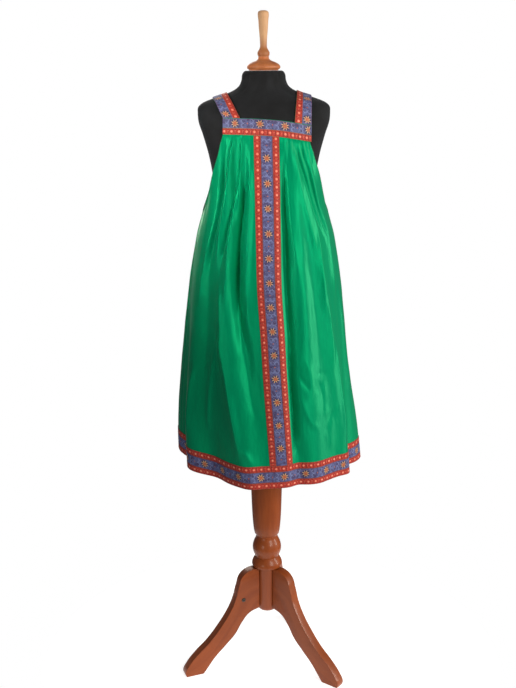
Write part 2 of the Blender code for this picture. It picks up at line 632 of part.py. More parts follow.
def add_stand(add):
    """Dress form, neck cap with its handle, turned pole and column, and the legs."""
    add(form_object(), "form")
    add(turned_object("cap_handle", HANDLE_ROWS), "handle")
    add(turned_object("neck_cap", CAP_ROWS), "wood")
    add(turned_object("pole", POLE_ROWS), "wood")
    add(turned_object("column", COLUMN_ROWS), "wood")
    for name, degrees in LEG_TURNS.items():
        add(leg_object(name, math.radians(degrees)), "wood")


# ---------------------------------------------------------------- the whole object
def main():
    """Build the sarafan and the stand that carries it."""
    clear_scene()
    collection = bpy.data.collections.new("sarafan_on_dress_form")
    bpy.context.scene.collection.children.link(collection)
    stand_axis = bpy.data.objects.new("stand_axis", None)
    stand_axis.location = (AXIS_X, AXIS_Y, 0.0)
    collection.objects.link(stand_axis)

    def add(item, look):
        """Link one piece on the stand's axis with its own material."""
        collection.objects.link(item)
        item.parent = stand_axis
        item.data.materials.append(make_material(item.name + "_" + look, LOOKS[look]))

    add_panels_and_trims(add)
    add_bands(add)
    add_straps(add)
    add_stand(add)


main()
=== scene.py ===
"""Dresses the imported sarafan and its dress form: satin cloth, woven trims, sewing, jersey and turned wood.

Units are metres and +Z is up. Left and right are the wearer's, so left is +X and the front looks along -Y.
Angles round the garment are in degrees: 0 at the middle of the front, positive towards +X, 180 behind.
"""

from __future__ import annotations

import logging
import math
from dataclasses import dataclass, field
from enum import Enum
from typing import Any, Callable, Iterable, Mapping, NamedTuple, Sequence

import bmesh
import bpy
import numpy as np
from mathutils import Matrix, Vector

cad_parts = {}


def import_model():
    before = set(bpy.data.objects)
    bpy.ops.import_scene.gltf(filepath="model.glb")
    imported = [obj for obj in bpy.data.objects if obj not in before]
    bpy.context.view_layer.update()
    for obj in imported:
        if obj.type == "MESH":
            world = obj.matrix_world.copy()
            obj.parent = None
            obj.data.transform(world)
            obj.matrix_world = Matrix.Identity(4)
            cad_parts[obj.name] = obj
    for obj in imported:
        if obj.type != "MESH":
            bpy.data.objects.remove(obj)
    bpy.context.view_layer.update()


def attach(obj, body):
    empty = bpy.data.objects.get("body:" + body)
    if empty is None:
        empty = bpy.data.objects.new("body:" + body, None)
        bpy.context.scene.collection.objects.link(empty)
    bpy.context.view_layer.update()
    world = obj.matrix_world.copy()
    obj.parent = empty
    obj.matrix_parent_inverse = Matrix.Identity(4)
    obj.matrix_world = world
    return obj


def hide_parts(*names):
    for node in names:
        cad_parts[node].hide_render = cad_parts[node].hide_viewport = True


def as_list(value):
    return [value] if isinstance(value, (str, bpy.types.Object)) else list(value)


LOG = logging.getLogger("sarafan")
Curve = Callable[[Any], Any]
Array = np.ndarray
Piece = bpy.types.Object
Material = bpy.types.Material
Shape = tuple["Thread", float, Array]  # a motif's thread, lift and outline

# ---- sizes shared by several pieces
AXIS = (-0.0078, -0.0262)  # the stand's upright axis
AXIS_FOOT = np.array([*AXIS, 0])
SEAM_GAP = 0.0003
SIDE_SEAM = 90  # degrees
RIBBON_WIDTH = 0.0235
BRAID_WIDTH = 0.0146
TRIM_WIDTH = RIBBON_WIDTH + 2 * BRAID_WIDTH
TRIM_EDGE = 0.00015  # left bare at each edge of a trim
BAND_BOTTOM = 1.255
BACK_BAND_BOTTOM = 1.248
BAND_HEIGHT = 0.033
BAND_BRAID = 0.0132
BAND_RIBBON = 0.0192
BAND_WALL = 0.001
HEM_HEIGHT = 0.4965
UNDERARM_HEIGHT = 1.088
BAND_END_RIGHT = -40.2
BAND_END_LEFT = 43.4
BACK_BAND_END = 41
STRAP_SWING_HEIGHT = 1.245
STRAP_REST = 0.0018
STRAP_RIBBON_SHARE = 0.6
MID_REACH = 0.14  # the garment's usual reach, where an angle has to stand for a breadth
CLOTH_LAYER = "cloth"
GRAIN_LAYER = "leg_grain"


# ---- tables with named columns
class FormRow(NamedTuple):
    """One section of the padded form."""

    height: float
    half_width: float
    front: float
    back: float
    power: float


class SkirtRow(NamedTuple):
    """One section of the garment: reaches from the stand's axis, with its widest place at the centre."""

    height: float
    half_width: float
    front: float
    back: float
    centre_x: float
    centre_y: float
    power: float


class Fold(NamedTuple):
    """A large hanging fold: its angle and how far it stands out, at each of FOLD_HEIGHTS."""

    angles: tuple[float, ...]
    depths: tuple[float, ...]
    width: float


class Crease(NamedTuple):
    """A soft trough (negative depth) or ridge that runs down a stretch of the cloth."""

    top: float
    bottom: float
    top_angle: float
    bottom_angle: float
    bow: float
    depth: float
    width: float


class Gather(NamedTuple):
    """A crease that starts at a band's seam: its angle there, its lean in degrees a metre, length and depth."""

    angle: float
    lean: float
    length: float
    depth: float


class TurnRow(NamedTuple):
    """One point of a turned outline; the outline has a crisp edge where sharp is set."""

    radius: float
    height: float
    sharp: bool = False


class LegPoint(NamedTuple):
    """One point of a leg's side outline."""

    reach: float
    height: float
    corner: bool = False


class StrapEdge(NamedTuple):
    """One edge of a strap: its angle at the front band, reach on the shoulder, and angle at the back band."""

    front_angle: float
    shoulder_x: float
    back_angle: float


def rows_of(kind: type, table: Iterable[Sequence[Any]]) -> tuple[Any, ...]:
    """The rows of a table, with their columns named."""
    return tuple(kind(*row) for row in table)


FORM_ROWS = rows_of(FormRow, (
    (0.85, 0.09, 0.068, 0.07, 2), (0.858, 0.108, 0.082, 0.086, 2), (0.885, 0.119, 0.09, 0.096, 2),
    (0.94, 0.12, 0.091, 0.098, 2), (1.06, 0.101, 0.081, 0.079, 2.1), (1.15, 0.109, 0.089, 0.083, 2.2),
    (1.205, 0.118, 0.0925, 0.086, 2.2), (1.25, 0.13, 0.0915, 0.087, 2.2), (1.283, 0.14, 0.0855, 0.085, 2.2),
    (1.305, 0.141, 0.076, 0.076, 2.1), (1.319, 0.129, 0.066, 0.066, 2.1), (1.329, 0.103, 0.057, 0.058, 2),
    (1.338, 0.076, 0.051, 0.052, 2), (1.349, 0.056, 0.047, 0.048, 2), (1.363, 0.0475, 0.046, 0.0465, 2),
    (1.376, 0.0455, 0.045, 0.045, 2), (1.3835, 0.041, 0.041, 0.041, 2),
))
FRONT_EASE = 0.0036
SIDE_EASE = 0.0026
SKIRT_ROWS = rows_of(SkirtRow, (
    (0.49, 0.202, 0.14, 0.174, 0.002, 0.045, 2), (0.6, 0.2, 0.139, 0.168, 0.001, 0.04, 2),
    (0.76, 0.1845, 0.132, 0.152, 0, 0.03, 2), (0.93, 0.1665, 0.122, 0.129, 0.001, 0.018, 2),
    (1.03, 0.1495, 0.114, 0.113, 0.002, 0.008, 2.1), (1.11, 0.13, 0.106, 0.1, 0.002, 0.002, 2.2),
    (1.19, 0.126, 0.0985, 0.0915, 0.001, 0, 2.2),
)) + tuple(SkirtRow(row.height, row.half_width + SIDE_EASE, row.front + FRONT_EASE, row.back + FRONT_EASE,
                 0, 0, row.power) for row in FORM_ROWS if 1.24 < row.height < 1.31)
# Height, and how far the front's middle is turned there, in degrees
TWIST_ROWS = ((0.49, 9.8), (0.65, 7.4), (0.83, 4.8), (0.95, 2.4), (1.1, 1.8))
# Angle, and how far the front band sags there
BAND_SAG_ROWS = ((-45, 0.0015), (-10, 0), (12, -0.004), (26, -0.009), (44, -0.016))
# Angle, and how far the hem rises there
HEM_ROWS = ((-180, 0.018), (-110, 0.032), (-85, 0.018), (-65, 0.007), (-35, 0), (60, 0), (100, 0.003),
            (180, 0.018))
# Height, and how far the cloth may go inwards before it would meet the form
INWARD_ROWS = ((1.06, -0.04), (1.1, -0.021), (1.15, -0.0105), (1.18, -0.0056), (1.2, -0.0036), (1.22, -0.0028),
               (1.3, -0.0026))
# Share of the way from band to side seam, and of the way down to the underarm
ARMHOLE_ROWS = ((0, 0), (0.13, 0.2), (0.32, 0.42), (0.52, 0.65), (0.72, 0.85), (0.88, 0.97), (1, 1))
FOLD_HEIGHTS = (0.5, 0.7, 0.9, 1.1, 1.24)
FOLDS = rows_of(Fold, (
    ((-20, -28, -36, -35, -34), (0.01, 0.01, 0.007, 0.003, 0), 7),
    ((-8, -14, -24, -25, -20), (0, -0.003, -0.012, -0.007, 0), 5),
    ((11, 13, 14, 16, 17), (-0.01, -0.008, -0.01, -0.006, 0), 5.5),
    ((25, 25, 26, 27, 28), (0.003, 0.003, 0.004, 0.003, 0), 6),
    ((52, 48, 44, 41, 40), (0.011, 0.008, 0.008, 0.004, 0), 6.5),
    ((-48, -50, -50, -50, -50), (-0.026, -0.012, -0.005, -0.002, 0), 14),
    ((-69, -70, -64, -62, -60), (0.002, 0.003, 0.003, 0.002, 0), 7),
    ((-82, -82, -82, -80, -80), (-0.02, -0.01, -0.003, 0, 0), 7),
    ((-103, -102, -101, -100, -100), (0.008, 0.009, 0.006, 0.003, 0), 10),
    ((67, 66, 66, 66, 66), (-0.012, -0.006, -0.002, 0, 0), 6),
    ((88, 92, 94, 96, 96), (0.019, 0.004, 0.002, 0.002, 0), 12),
    ((112, 112, 112, 112, 112), (-0.01, -0.008, -0.004, 0, 0), 8),
    ((-128, -129, -132, -136, -140), (-0.013, -0.011, -0.008, -0.003, 0), 8),
    ((-146, -147, -149, -152, -154), (0.012, 0.011, 0.008, 0.004, 0), 9),
    ((-165, -166, -167, -168, -169), (-0.01, -0.01, -0.009, -0.004, 0), 6.5),
    ((176, 177, 178, 179, 180), (0.01, 0.01, 0.008, 0.004, 0), 8),
    ((158, 160, 163, 164, 165), (-0.012, -0.011, -0.009, -0.004, 0), 7),
    ((136, 138, 144, 148, 150), (0.014, 0.012, 0.008, 0.004, 0), 9),
))
CREASES = rows_of(Crease, (
    # wearer's right half of the front
    (0.96, 0.75, -38.5, -37.5, 0.5, 0.0041, 0.0055), (0.86, 0.545, -40.5, -24.5, 1.5, 0.0066, 0.0075),
    (1.3, 0.94, -27, -54, -7, -0.0092, 0.0048), (1.29, 0.96, -26, -44, -5, 0.0062, 0.005),
    (1.3, 0.94, -21, -40, -3.5, -0.0092, 0.0048), (1.15, 0.84, -31.5, -33.5, 0, 0.0046, 0.0048),
    (1.3, 1.04, -27, -29, 0, -0.0042, 0.011), (1.27, 0.86, -19, -24.6, -3, -0.0105, 0.0058),
    (1.29, 1.06, -18.5, -28, -2.5, 0.0056, 0.0046), (1.12, 0.82, -22, -22, 0, 0.0038, 0.0085),
    (1.04, 0.78, -28, -22, 0, -0.0054, 0.0065), (1.23, 0.84, -15.6, -16.6, -0.5, 0.0048, 0.0056),
    (1.06, 0.86, -28.5, -29.5, 0, 0.0022, 0.007), (1.15, 0.88, -45, -62, -2, 0.0035, 0.0075),
    (1.05, 0.7, -52, -56, 2, -0.0027, 0.011), (0.83, 0.59, -42, -52, -2, 0.0032, 0.007),
    (0.78, 0.56, -62, -69, -3, 0.0041, 0.008), (0.8, 0.64, -21, -14, 0, -0.0035, 0.008),
    (0.74, 0.56, -28, -23, 1, -0.0022, 0.009), (0.59, 0.548, -23, -17, 0, 0.0035, 0.005),
    # beside the centre trim
    (0.9, 0.6, -10.5, -9.5, 0, -0.0014, 0.007), (1.06, 0.76, 12, 11.5, 0, 0.0016, 0.0045),
    # wearer's left half of the front
    (1.23, 0.93, 18.5, 23, -1, 0.0036, 0.0048), (1.24, 0.96, 16.8, 14.8, 0, -0.0098, 0.0056),
    (1.06, 0.74, 15, 12.2, 0.5, -0.0098, 0.006), (0.83, 0.545, 12, 9.8, 0.5, -0.0125, 0.0068),
    (0.86, 0.545, 17, 15, 0, 0.004, 0.009), (1.225, 0.98, 25, 42, 2, 0.003, 0.007),
    (1.3, 1.02, 15, 56, 3, -0.006, 0.0044), (1.3, 1.02, 21, 62, 3, -0.0056, 0.0042),
    (1.23, 1.06, 36, 58, 2, 0.0032, 0.0065), (1.1, 0.85, 44.8, 42.8, 0, 0.0034, 0.0042),
    (1.02, 0.74, 45, 46.5, 0.5, 0.0041, 0.006), (0.86, 0.545, 49, 50.5, 2, 0.0049, 0.0055),
    (1, 0.7, 34, 33, 1, -0.0016, 0.012), (0.775, 0.705, 15, 25, -2, -0.0016, 0.0055),
    (0.79, 0.69, 21, 23, 3, 0.0019, 0.006), (0.755, 0.735, 27, 41, 2, -0.0013, 0.0045),
    (0.74, 0.65, 29, 33, 3, -0.0024, 0.0065), (0.735, 0.64, 37, 35, -1, 0.0019, 0.006),
    (0.7, 0.61, 17, 29, -3, 0.0022, 0.007), (0.665, 0.6, 44, 33, -2, -0.0014, 0.008),
    (0.65, 0.555, 40, 37, 0, 0.0019, 0.009), (1.12, 0.9, 60, 64, 0, 0.003, 0.009),
    (0.95, 0.62, 70, 74, 2, 0.0032, 0.01),
    # back
    (1.2, 0.82, -176, -174, 2, 0.0028, 0.008), (1.16, 0.72, -167, -165, -1, -0.003, 0.008),
    (1.19, 0.9, -158, -155, 1, 0.0026, 0.007), (1.1, 0.64, -149, -146, 2, 0.0028, 0.009),
    (1.15, 0.82, -138, -128, -2, -0.0026, 0.008), (1.17, 0.94, -130, -112, -3, 0.0024, 0.009),
    (0.86, 0.58, -120, -112, 2, 0.0022, 0.011), (1.2, 0.76, 171, 170, 1, -0.0024, 0.007),
    (1.15, 0.7, 163, 158, 1, -0.003, 0.008), (1.19, 0.9, 154, 151, -1, 0.0026, 0.007),
    (1.08, 0.62, 147, 137, 2, 0.003, 0.009), (1.16, 0.88, 137, 122, 3, -0.0028, 0.008),
    (1.12, 0.86, 122, 104, 2, 0.0022, 0.01), (0.74, 0.59, 168, 178, 0, -0.0016, 0.008),
    (0.72, 0.6, -176, -168, 0, 0.0016, 0.008),
))
FRONT_GATHERS = rows_of(Gather, (
    (-15.5, -14, 0.07, 0.002), (-19.5, -20, 0.045, 0.0022), (-23.6, -8, 0.04, 0.0016), (-27.4, -45, 0.11, 0.0044),
    (-31.8, -60, 0.035, 0.0016), (-36.6, -90, 0.12, 0.0046), (-39.2, -90, 0.06, 0.0024), (14.4, 6, 0.04, 0.0016),
    (19.8, 10, 0.08, 0.0026), (24.2, 40, 0.05, 0.002), (28.4, 75, 0.08, 0.0032), (32.6, 95, 0.06, 0.0028),
    (37.2, 105, 0.09, 0.0036), (41.2, 110, 0.07, 0.0028),
))
HANDLE_ROWS = rows_of(TurnRow, (
    (0, 1.505), (0.006, 1.5045), (0.0105, 1.502), (0.0116, 1.497), (0.0104, 1.484), (0.0094, 1.468),
    (0.008, 1.452), (0.0073, 1.44), (0.0075, 1.431), (0.01, 1.4255), (0.0126, 1.421), (0.0126, 1.416),
    (0.0112, 1.4125, True), (0, 1.4125),
))
CAP_ROWS = rows_of(TurnRow, (
    (0, 1.4122), (0.0112, 1.4122, True), (0.0118, 1.408), (0.0158, 1.4042), (0.025, 1.4005), (0.0325, 1.396),
    (0.035, 1.3925), (0.035, 1.389), (0.0335, 1.3868, True), (0.031, 1.386, True), (0.031, 1.3838, True),
    (0, 1.3838),
))
POLE_ROWS = rows_of(TurnRow, (
    (0, 0.8497), (0.03, 0.8497, True), (0.03, 0.838, True), (0.0225, 0.832, True), (0.0225, 0.6, True),
    (0.027, 0.59), (0.027, 0.58), (0.025, 0.574, True), (0.032, 0.52), (0.036, 0.46), (0.0352, 0.42),
    (0.034, 0.385), (0.0325, 0.36), (0.0305, 0.34), (0.0285, 0.33, True), (0.0252, 0.3255),
    (0.0252, 0.3225, True), (0, 0.3225),
))
COLUMN_ROWS = rows_of(TurnRow, (
    (0, 0.3222), (0.0252, 0.3222, True), (0.0262, 0.318), (0.0308, 0.308), (0.0334, 0.296), (0.0325, 0.285),
    (0.0295, 0.276), (0.0273, 0.271, True), (0.0315, 0.265), (0.0348, 0.258), (0.0358, 0.252),
    (0.035, 0.2475, True), (0.0245, 0.2462, True), (0.0245, 0.142, True), (0.0205, 0.1355), (0.012, 0.1318),
    (0, 0.131),
))
LEG_POINTS = rows_of(LegPoint, (
    (0.0248, 0.244, True), (0.044, 0.244), (0.066, 0.231), (0.0765, 0.204), (0.085, 0.174), (0.1, 0.143),
    (0.124, 0.109), (0.15, 0.079), (0.181, 0.052), (0.203, 0.028), (0.2125, 0.01), (0.21, 0, True),
    (0.168, 0, True), (0.154, 0.018), (0.1385, 0.037), (0.111, 0.063), (0.087, 0.087), (0.069, 0.115),
    (0.05, 0.135), (0.0248, 0.144, True),
))
LEG_TURNS = {"leg_left": -38.3, "leg_back": 67.7, "leg_right": 201.7}  # degrees from +X
STRAP_EDGES = {
    "right": (StrapEdge(BAND_END_RIGHT, -0.109, -139), StrapEdge(-23.3, -0.0785, -155)),
    "left": (StrapEdge(25.4, 0.07, 155), StrapEdge(BAND_END_LEFT, 0.1005, 139)),
}


# ---- curves and noise
def monotone_curve(stations: Sequence[float], values: Sequence[float]) -> Curve:
    """Makes a smooth curve that never overshoots.

    Args:
        stations: rising places.
        values: the values there.

    Returns:
        A function of a number or an array.
    """
    xs, ys = np.asarray(stations, float), np.asarray(values, float)
    steps, slopes = np.diff(xs), np.diff(ys) / np.diff(xs)
    tangents = np.concatenate(([slopes[0]], (slopes[:-1] + slopes[1:]) / 2, [slopes[-1]]))
    for k, slope in enumerate(slopes):
        limit = 3 * abs(slope)
        for end in (k, k + 1):
            same_way = tangents[end] * slope > 0
            tangents[end] = math.copysign(min(abs(tangents[end]), limit), slope) if same_way else 0

    def curve(x: Any) -> Any:
        """Value of the curve at x."""
        x = np.clip(x, xs[0], xs[-1])
        k = np.clip(np.searchsorted(xs, x, side="right") - 1, 0, len(steps) - 1)
        t = (x - xs[k]) / steps[k]
        rise = t * t * (3 - 2 * t)
        return (ys[k] + (ys[k + 1] - ys[k]) * rise
                + steps[k] * t * (1 - t) * ((1 - t) * tangents[k] - t * tangents[k + 1]))

    return curve


def curves_of(rows: Sequence[NamedTuple]) -> dict[str, Curve]:
    """One curve for each column of a table, against its first column."""
    stations, *columns = zip(*rows)
    return {name: monotone_curve(stations, column) for name, column in zip(rows[0]._fields[1:], columns)}


def ramp(value: Any, low: float, high: float) -> Any:
    """Smooth step from 0 at low to 1 at high."""
    t = np.clip((value - low) / (high - low), 0, 1)
    return t * t * (3 - 2 * t)


def smooth_noise(x: Array, y: Array, seed: int) -> Array:
    """Smooth random surface.

    Args:
        x: first coordinate, in cells.
        y: second coordinate.
        seed: of the table of values.

    Returns:
        Values from -1 to 1.
    """
    size = 64
    table = np.random.default_rng(seed).uniform(-1, 1, (size, size))
    column, row = np.floor(x).astype(int), np.floor(y).astype(int)
    u, v = (t ** 3 * (t * (6 * t - 15) + 10) for t in (x - column, y - row))
    corner = [[table[(column + i) % size, (row + j) % size] for j in (0, 1)] for i in (0, 1)]
    low, high = (corner[0][j] * (1 - u) + corner[1][j] * u for j in (0, 1))
    return low * (1 - v) + high * v


def section(angle: Array, half_width: Any, front: Any, back: Any, power: Any) -> tuple[Array, ...]:
    """Points and outward normals of a superellipse, seen in plan.

    Args:
        angle: radians from the front towards +X.
        half_width: reach to either side.
        front: reach forwards.
        back: reach backwards.
        power: 2 for an ellipse.

    Returns:
        x, y, and the normal's x and y.
    """
    s, c = np.sin(angle), np.cos(angle)
    reach = (np.abs(s) ** power + np.abs(c) ** power) ** (-1 / power)
    depth = np.where(c > 0, front, back)
    x, y = half_width * reach * s, -depth * reach * c
    nx = np.sign(x) * np.abs(x / half_width) ** (power - 1) / half_width
    ny = np.sign(y) * np.abs(y / depth) ** (power - 1) / depth
    size = np.hypot(nx, ny)
    return x, y, nx / size, ny / size


def turn_between(angle: Any, centre: Any) -> Any:
    """Signed turn from centre to angle, in degrees, the short way round."""
    return (angle - centre + 180) % 360 - 180


def on_axis(points: Array) -> Array:
    """The spots of the stand's axis that lie level with some points."""
    return points * (0, 0, 1) + AXIS_FOOT


def unit(vectors: Array) -> Array:
    """Vectors of the same directions, a metre long."""
    return vectors / np.linalg.norm(vectors, axis=-1, keepdims=True)


def run_lengths(line: Array) -> Array:
    """Metres from the start of a line to each of its points."""
    return np.concatenate([[0], np.cumsum(np.linalg.norm(np.diff(line, axis=0), axis=1))])


def joined(*parts: Any) -> Array:
    """Arrays or numbers set side by side along a new last axis."""
    return np.stack(np.broadcast_arrays(*parts), -1)


# ---- the garment's surface
class Relief(Enum):
    """How much of the cloth's relief a point takes."""

    NONE = "none"
    FULL = "full"


@dataclass
class GarmentSurface:
    """The outer face of the sarafan, worked out from its sections, folds, gathers and creases."""

    puff: float = 0.0034  # how far the cloth swells out under a band
    puff_start: float = 0.024
    puff_length: float = 0.15
    seam_hold: float = 0.006  # drop over which a band's seam lets the gathers go
    gather_width: float = 0.003
    gather_spread: float = 0.03  # metres wider for each metre of drop
    trim_hold: tuple[float, float] = (11, 14.5)  # degrees beside the centre trim where gathers set in
    tuck_pitch: float = 2.5  # degrees between the smallest gathers along a band
    tuck_depth: float = 0.0006
    tuck_length: float = 0.016
    crease_fade: float = 0.3  # share of a crease's length over which each end dies away
    crease_start: float = 0.012
    crumple: float = 0.001
    seam_dip: float = 0.0012
    seam_dip_width: float = 0.0025
    form_ease: float = 0.0006
    bell_power: float = 1.5  # shape of a crease's cross-section
    twist: Curve = monotone_curve(*zip(*TWIST_ROWS))
    sag: Curve = monotone_curve(*zip(*BAND_SAG_ROWS))
    hem_rise: Curve = monotone_curve(*zip(*HEM_ROWS))
    inward: Curve = monotone_curve(*zip(*INWARD_ROWS))
    armhole: Curve = monotone_curve(*zip(*ARMHOLE_ROWS))
    skirt: dict[str, Curve] = field(default_factory=lambda: curves_of(SKIRT_ROWS))
    folds: list[tuple[Curve, Curve, float]] = field(init=False)
    back_gathers: tuple[Gather, ...] = field(init=False)

    def __post_init__(self) -> None:
        """Draws the folds' paths, and spaces the back gathers unevenly."""
        self.folds = [(monotone_curve(FOLD_HEIGHTS, fold.angles), monotone_curve(FOLD_HEIGHTS, fold.depths),
                       fold.width) for fold in FOLDS]
        rng = np.random.default_rng(7)
        away = np.arange(-39, 40, 5.6) + rng.uniform(-1.1, 1.1, 15)
        self.back_gathers = tuple(
            Gather(180 + a, 0.9 * a, rng.uniform(0.05, 0.19), rng.uniform(0.002, 0.0042)) for a in away)

    def arc(self, height: Any) -> Any:
        """Metres round the garment for each degree, about the front and back."""
        return np.radians(1) * (0.45 * self.skirt["half_width"](height) + 0.55 * self.skirt["front"](height))

    def band_seam(self, angle: Any) -> Any:
        """Height of the seam between a band and its gathered panel."""
        return np.where(np.abs(angle) <= SIDE_SEAM, BAND_BOTTOM + self.sag(angle), BACK_BAND_BOTTOM)

    def hem(self, angle: Any) -> Any:
        """Height of the hem."""
        return HEM_HEIGHT + self.hem_rise(angle)

    def from_middle(self, angle: Any) -> Any:
        """Degrees from the middle of the panel that an angle is on."""
        return np.where(np.abs(angle) <= SIDE_SEAM, np.abs(angle), 180 - np.abs(angle))

    def top_edge(self, angle: Any) -> Any:
        """Height of the panels' upper edge: a band's seam, then the armhole down to the side seam.

        Args:
            angle: degrees round.

        Returns:
            Metres above the floor.
        """
        angle = np.asarray(angle, float)
        end = np.where(np.abs(angle) > SIDE_SEAM, BACK_BAND_END,
                       np.where(angle < 0, -BAND_END_RIGHT, BAND_END_LEFT))
        share = np.clip((self.from_middle(angle) - end) / (SIDE_SEAM - end), 0, 1)
        seam = self.band_seam(angle)
        return seam - (seam - UNDERARM_HEIGHT) * self.armhole(share)

    def large_folds(self, angle: Array, height: Array) -> Array:
        """Relief of the hanging folds."""
        return sum(depth(height) * np.exp(-(turn_between(angle, path(height)) / width) ** 2)
                   for path, depth, width in self.folds)

    def gathers(self, angle: Array, height: Array) -> Array:
        """Relief of the gathers under the bands: a swell, cut by creases that fan out below.

        Args:
            angle: degrees round.
            height: metres up.

        Returns:
            Metres outwards.
        """
        drop = np.maximum(self.band_seam(angle) - height, 0)
        away = self.from_middle(angle)
        beside_trim = np.where(np.abs(angle) <= SIDE_SEAM, ramp(away, *self.trim_hold), 1)
        inside = beside_trim * ramp(SIDE_SEAM - 3 - away, 0, 32)
        relief = self.puff * ramp(drop, 0, self.puff_start) * np.exp(-(drop / self.puff_length) ** 2)
        start = ramp(drop, 0, self.seam_hold)
        width = self.gather_width + self.gather_spread * drop
        for gather in FRONT_GATHERS + self.back_gathers:
            offset = turn_between(angle, gather.angle + gather.lean * drop) * self.arc(height)
            bell = np.exp(-np.abs(offset / width) ** self.bell_power)
            relief -= gather.depth * start * bell * np.exp(-(drop / gather.length) ** 2)
        fine = np.abs(np.sin(np.pi * angle / self.tuck_pitch + 0.7 * np.sin(angle * 0.9)))
        relief += self.tuck_depth * fine * start * np.exp(-(drop / self.tuck_length) ** 2)
        return relief * inside

    def creases(self, angle: Array, height: Array) -> Array:
        """Relief of the finer creases.

        Args:
            angle: degrees round.
            height: metres up.

        Returns:
            Metres outwards.
        """
        relief, arc = np.zeros(angle.shape), self.arc(height)
        for crease in CREASES:
            t = (crease.top - height) / (crease.top - crease.bottom)
            path = (crease.top_angle + (crease.bottom_angle - crease.top_angle) * t
                    + crease.bow * np.sin(np.pi * np.clip(t, 0, 1)))
            offset = turn_between(angle, path) * arc / crease.width
            fade = ramp(t, 0, self.crease_fade) * ramp(1 - t, 0, self.crease_fade)
            relief += crease.depth * fade * np.exp(-np.abs(offset) ** self.bell_power)
        return relief * ramp(self.band_seam(angle) - height, 0, self.crease_start)

    def crumpling(self, angle: Array, height: Array) -> Array:
        """Low uneven relief of a cloth that has been folded and worn.

        Args:
            angle: degrees round.
            height: metres up.

        Returns:
            Metres outwards.
        """
        across = angle * self.arc(0.9)
        slow = smooth_noise(across / 0.034 + 40, height / 0.12 + 0.25 * across / 0.05, 3)
        quick = smooth_noise(across / 0.018 + 80, height / 0.05 - 0.5 * across / 0.03, 5)
        slant = smooth_noise((across + 0.5 * height) / 0.022 + 60, (height - 0.3 * across) / 0.075 + 9, 11)
        ripple = 0.75 * slow + 0.25 * quick + 0.3 * slant
        return self.crumple * ripple * ramp(1.235 - height, 0, 0.09)

    def keep_off_form(self, relief: Array, height: Array) -> Array:
        """Relief that eases off before the cloth meets the form behind it."""
        limit = self.inward(height)
        return limit + self.form_ease * np.logaddexp(0, (relief - limit) / self.form_ease)

    def suppleness(self, angle: Array, height: Array) -> Array:
        """Share of the fine relief that is left where trims stiffen the cloth.

        Args:
            angle: degrees round.
            height: metres up.

        Returns:
            Shares up to 1.
        """
        from_centre = np.abs(angle) * self.arc(height) - TRIM_WIDTH / 2
        beside = np.where(np.abs(angle) < SIDE_SEAM, ramp(from_centre, -0.003, 0.007), 1)
        above_hem = ramp(height - self.hem(angle), TRIM_WIDTH - 0.02, TRIM_WIDTH + 0.05)
        return (0.12 + 0.88 * beside) * (0.3 + 0.7 * above_hem)

    def points(self, angle: Any, height: Any, relief: Relief = Relief.FULL) -> Array:
        """Points on the outer face.

        Args:
            angle: degrees round.
            height: metres up.
            relief: whether folds, gathers and creases count.

        Returns:
            x, y and z last.
        """
        angle, height = np.broadcast_arrays(np.asarray(angle, float), np.asarray(height, float))
        swung = np.radians(angle + self.twist(height) * (1 + np.cos(np.radians(angle))) / 2)
        row = {name: curve(height) for name, curve in self.skirt.items()}
        x, y, nx, ny = section(swung, row["half_width"], row["front"] + row["centre_y"],
                               row["back"] - row["centre_y"], row["power"])
        out = np.zeros(angle.shape)
        if relief is Relief.FULL:
            fine = self.gathers(angle, height) + self.creases(angle, height) + self.crumpling(angle, height)
            from_seam = np.abs(np.abs(angle) - SIDE_SEAM) * self.arc(height)
            out = self.keep_off_form(self.large_folds(angle, height) + fine * self.suppleness(angle, height)
                                     - self.seam_dip * np.exp(-(from_seam / self.seam_dip_width) ** 2), height)
        return joined(AXIS[0] + row["centre_x"] + x + nx * out, AXIS[1] + row["centre_y"] + y + ny * out, height)

    def band_points(self, angle: Any, rise: Any) -> Array:
        """Points of a band, with its columns upright.

        Args:
            angle: degrees round.
            rise: metres above the band's seam.

        Returns:
            x, y and z last.
        """
        angle, height = np.broadcast_arrays(np.asarray(angle, float), self.band_seam(angle) + rise)
        half_width = self.skirt["half_width"]
        share = np.clip(np.sin(np.radians(angle)) * half_width(BAND_BOTTOM) / half_width(height), -1, 1)
        ahead = np.degrees(np.arcsin(share))
        upright = np.where(np.abs(angle) <= SIDE_SEAM, ahead, np.sign(angle) * 180 - ahead)
        return self.points(upright, height, Relief.NONE)


@dataclass
class FormShape:
    """The padded form's outer shape, about the stand's axis."""

    rows: dict[str, Curve] = field(default_factory=lambda: curves_of(FORM_ROWS))

    def inside(self, x: float, y: float, z: float) -> bool:
        """Whether a spot lies in the form.

        Args:
            x: metres from the stand's axis to the left.
            y: metres behind it.
            z: metres up.

        Returns:
            True where it does.
        """
        if not FORM_ROWS[0].height < z < FORM_ROWS[-1].height:
            return False
        depth, power = self.rows["front" if y < 0 else "back"](z), self.rows["power"](z)
        return (abs(x) / self.rows["half_width"](z)) ** power + (abs(y) / depth) ** power < 1

    def reach(self, x: float, swing: float) -> float:
        """Distance from the straps' swing line to the form.

        Args:
            x: place along the swing line.
            swing: radians up from straight ahead.

        Returns:
            Metres, found by halving.
        """
        near, far = 0, 0.2
        for _ in range(26):
            middle = (near + far) / 2
            if self.inside(x, -middle * math.cos(swing), STRAP_SWING_HEIGHT + middle * math.sin(swing)):
                near = middle
            else:
                far = middle
        return near


# ---- making meshes
def link(name: str, data: bpy.types.ID) -> Piece:
    """Puts a mesh, curve, light or camera into the scene at the origin."""
    item = bpy.data.objects.new(name, data)
    bpy.context.scene.collection.objects.link(item)
    return item


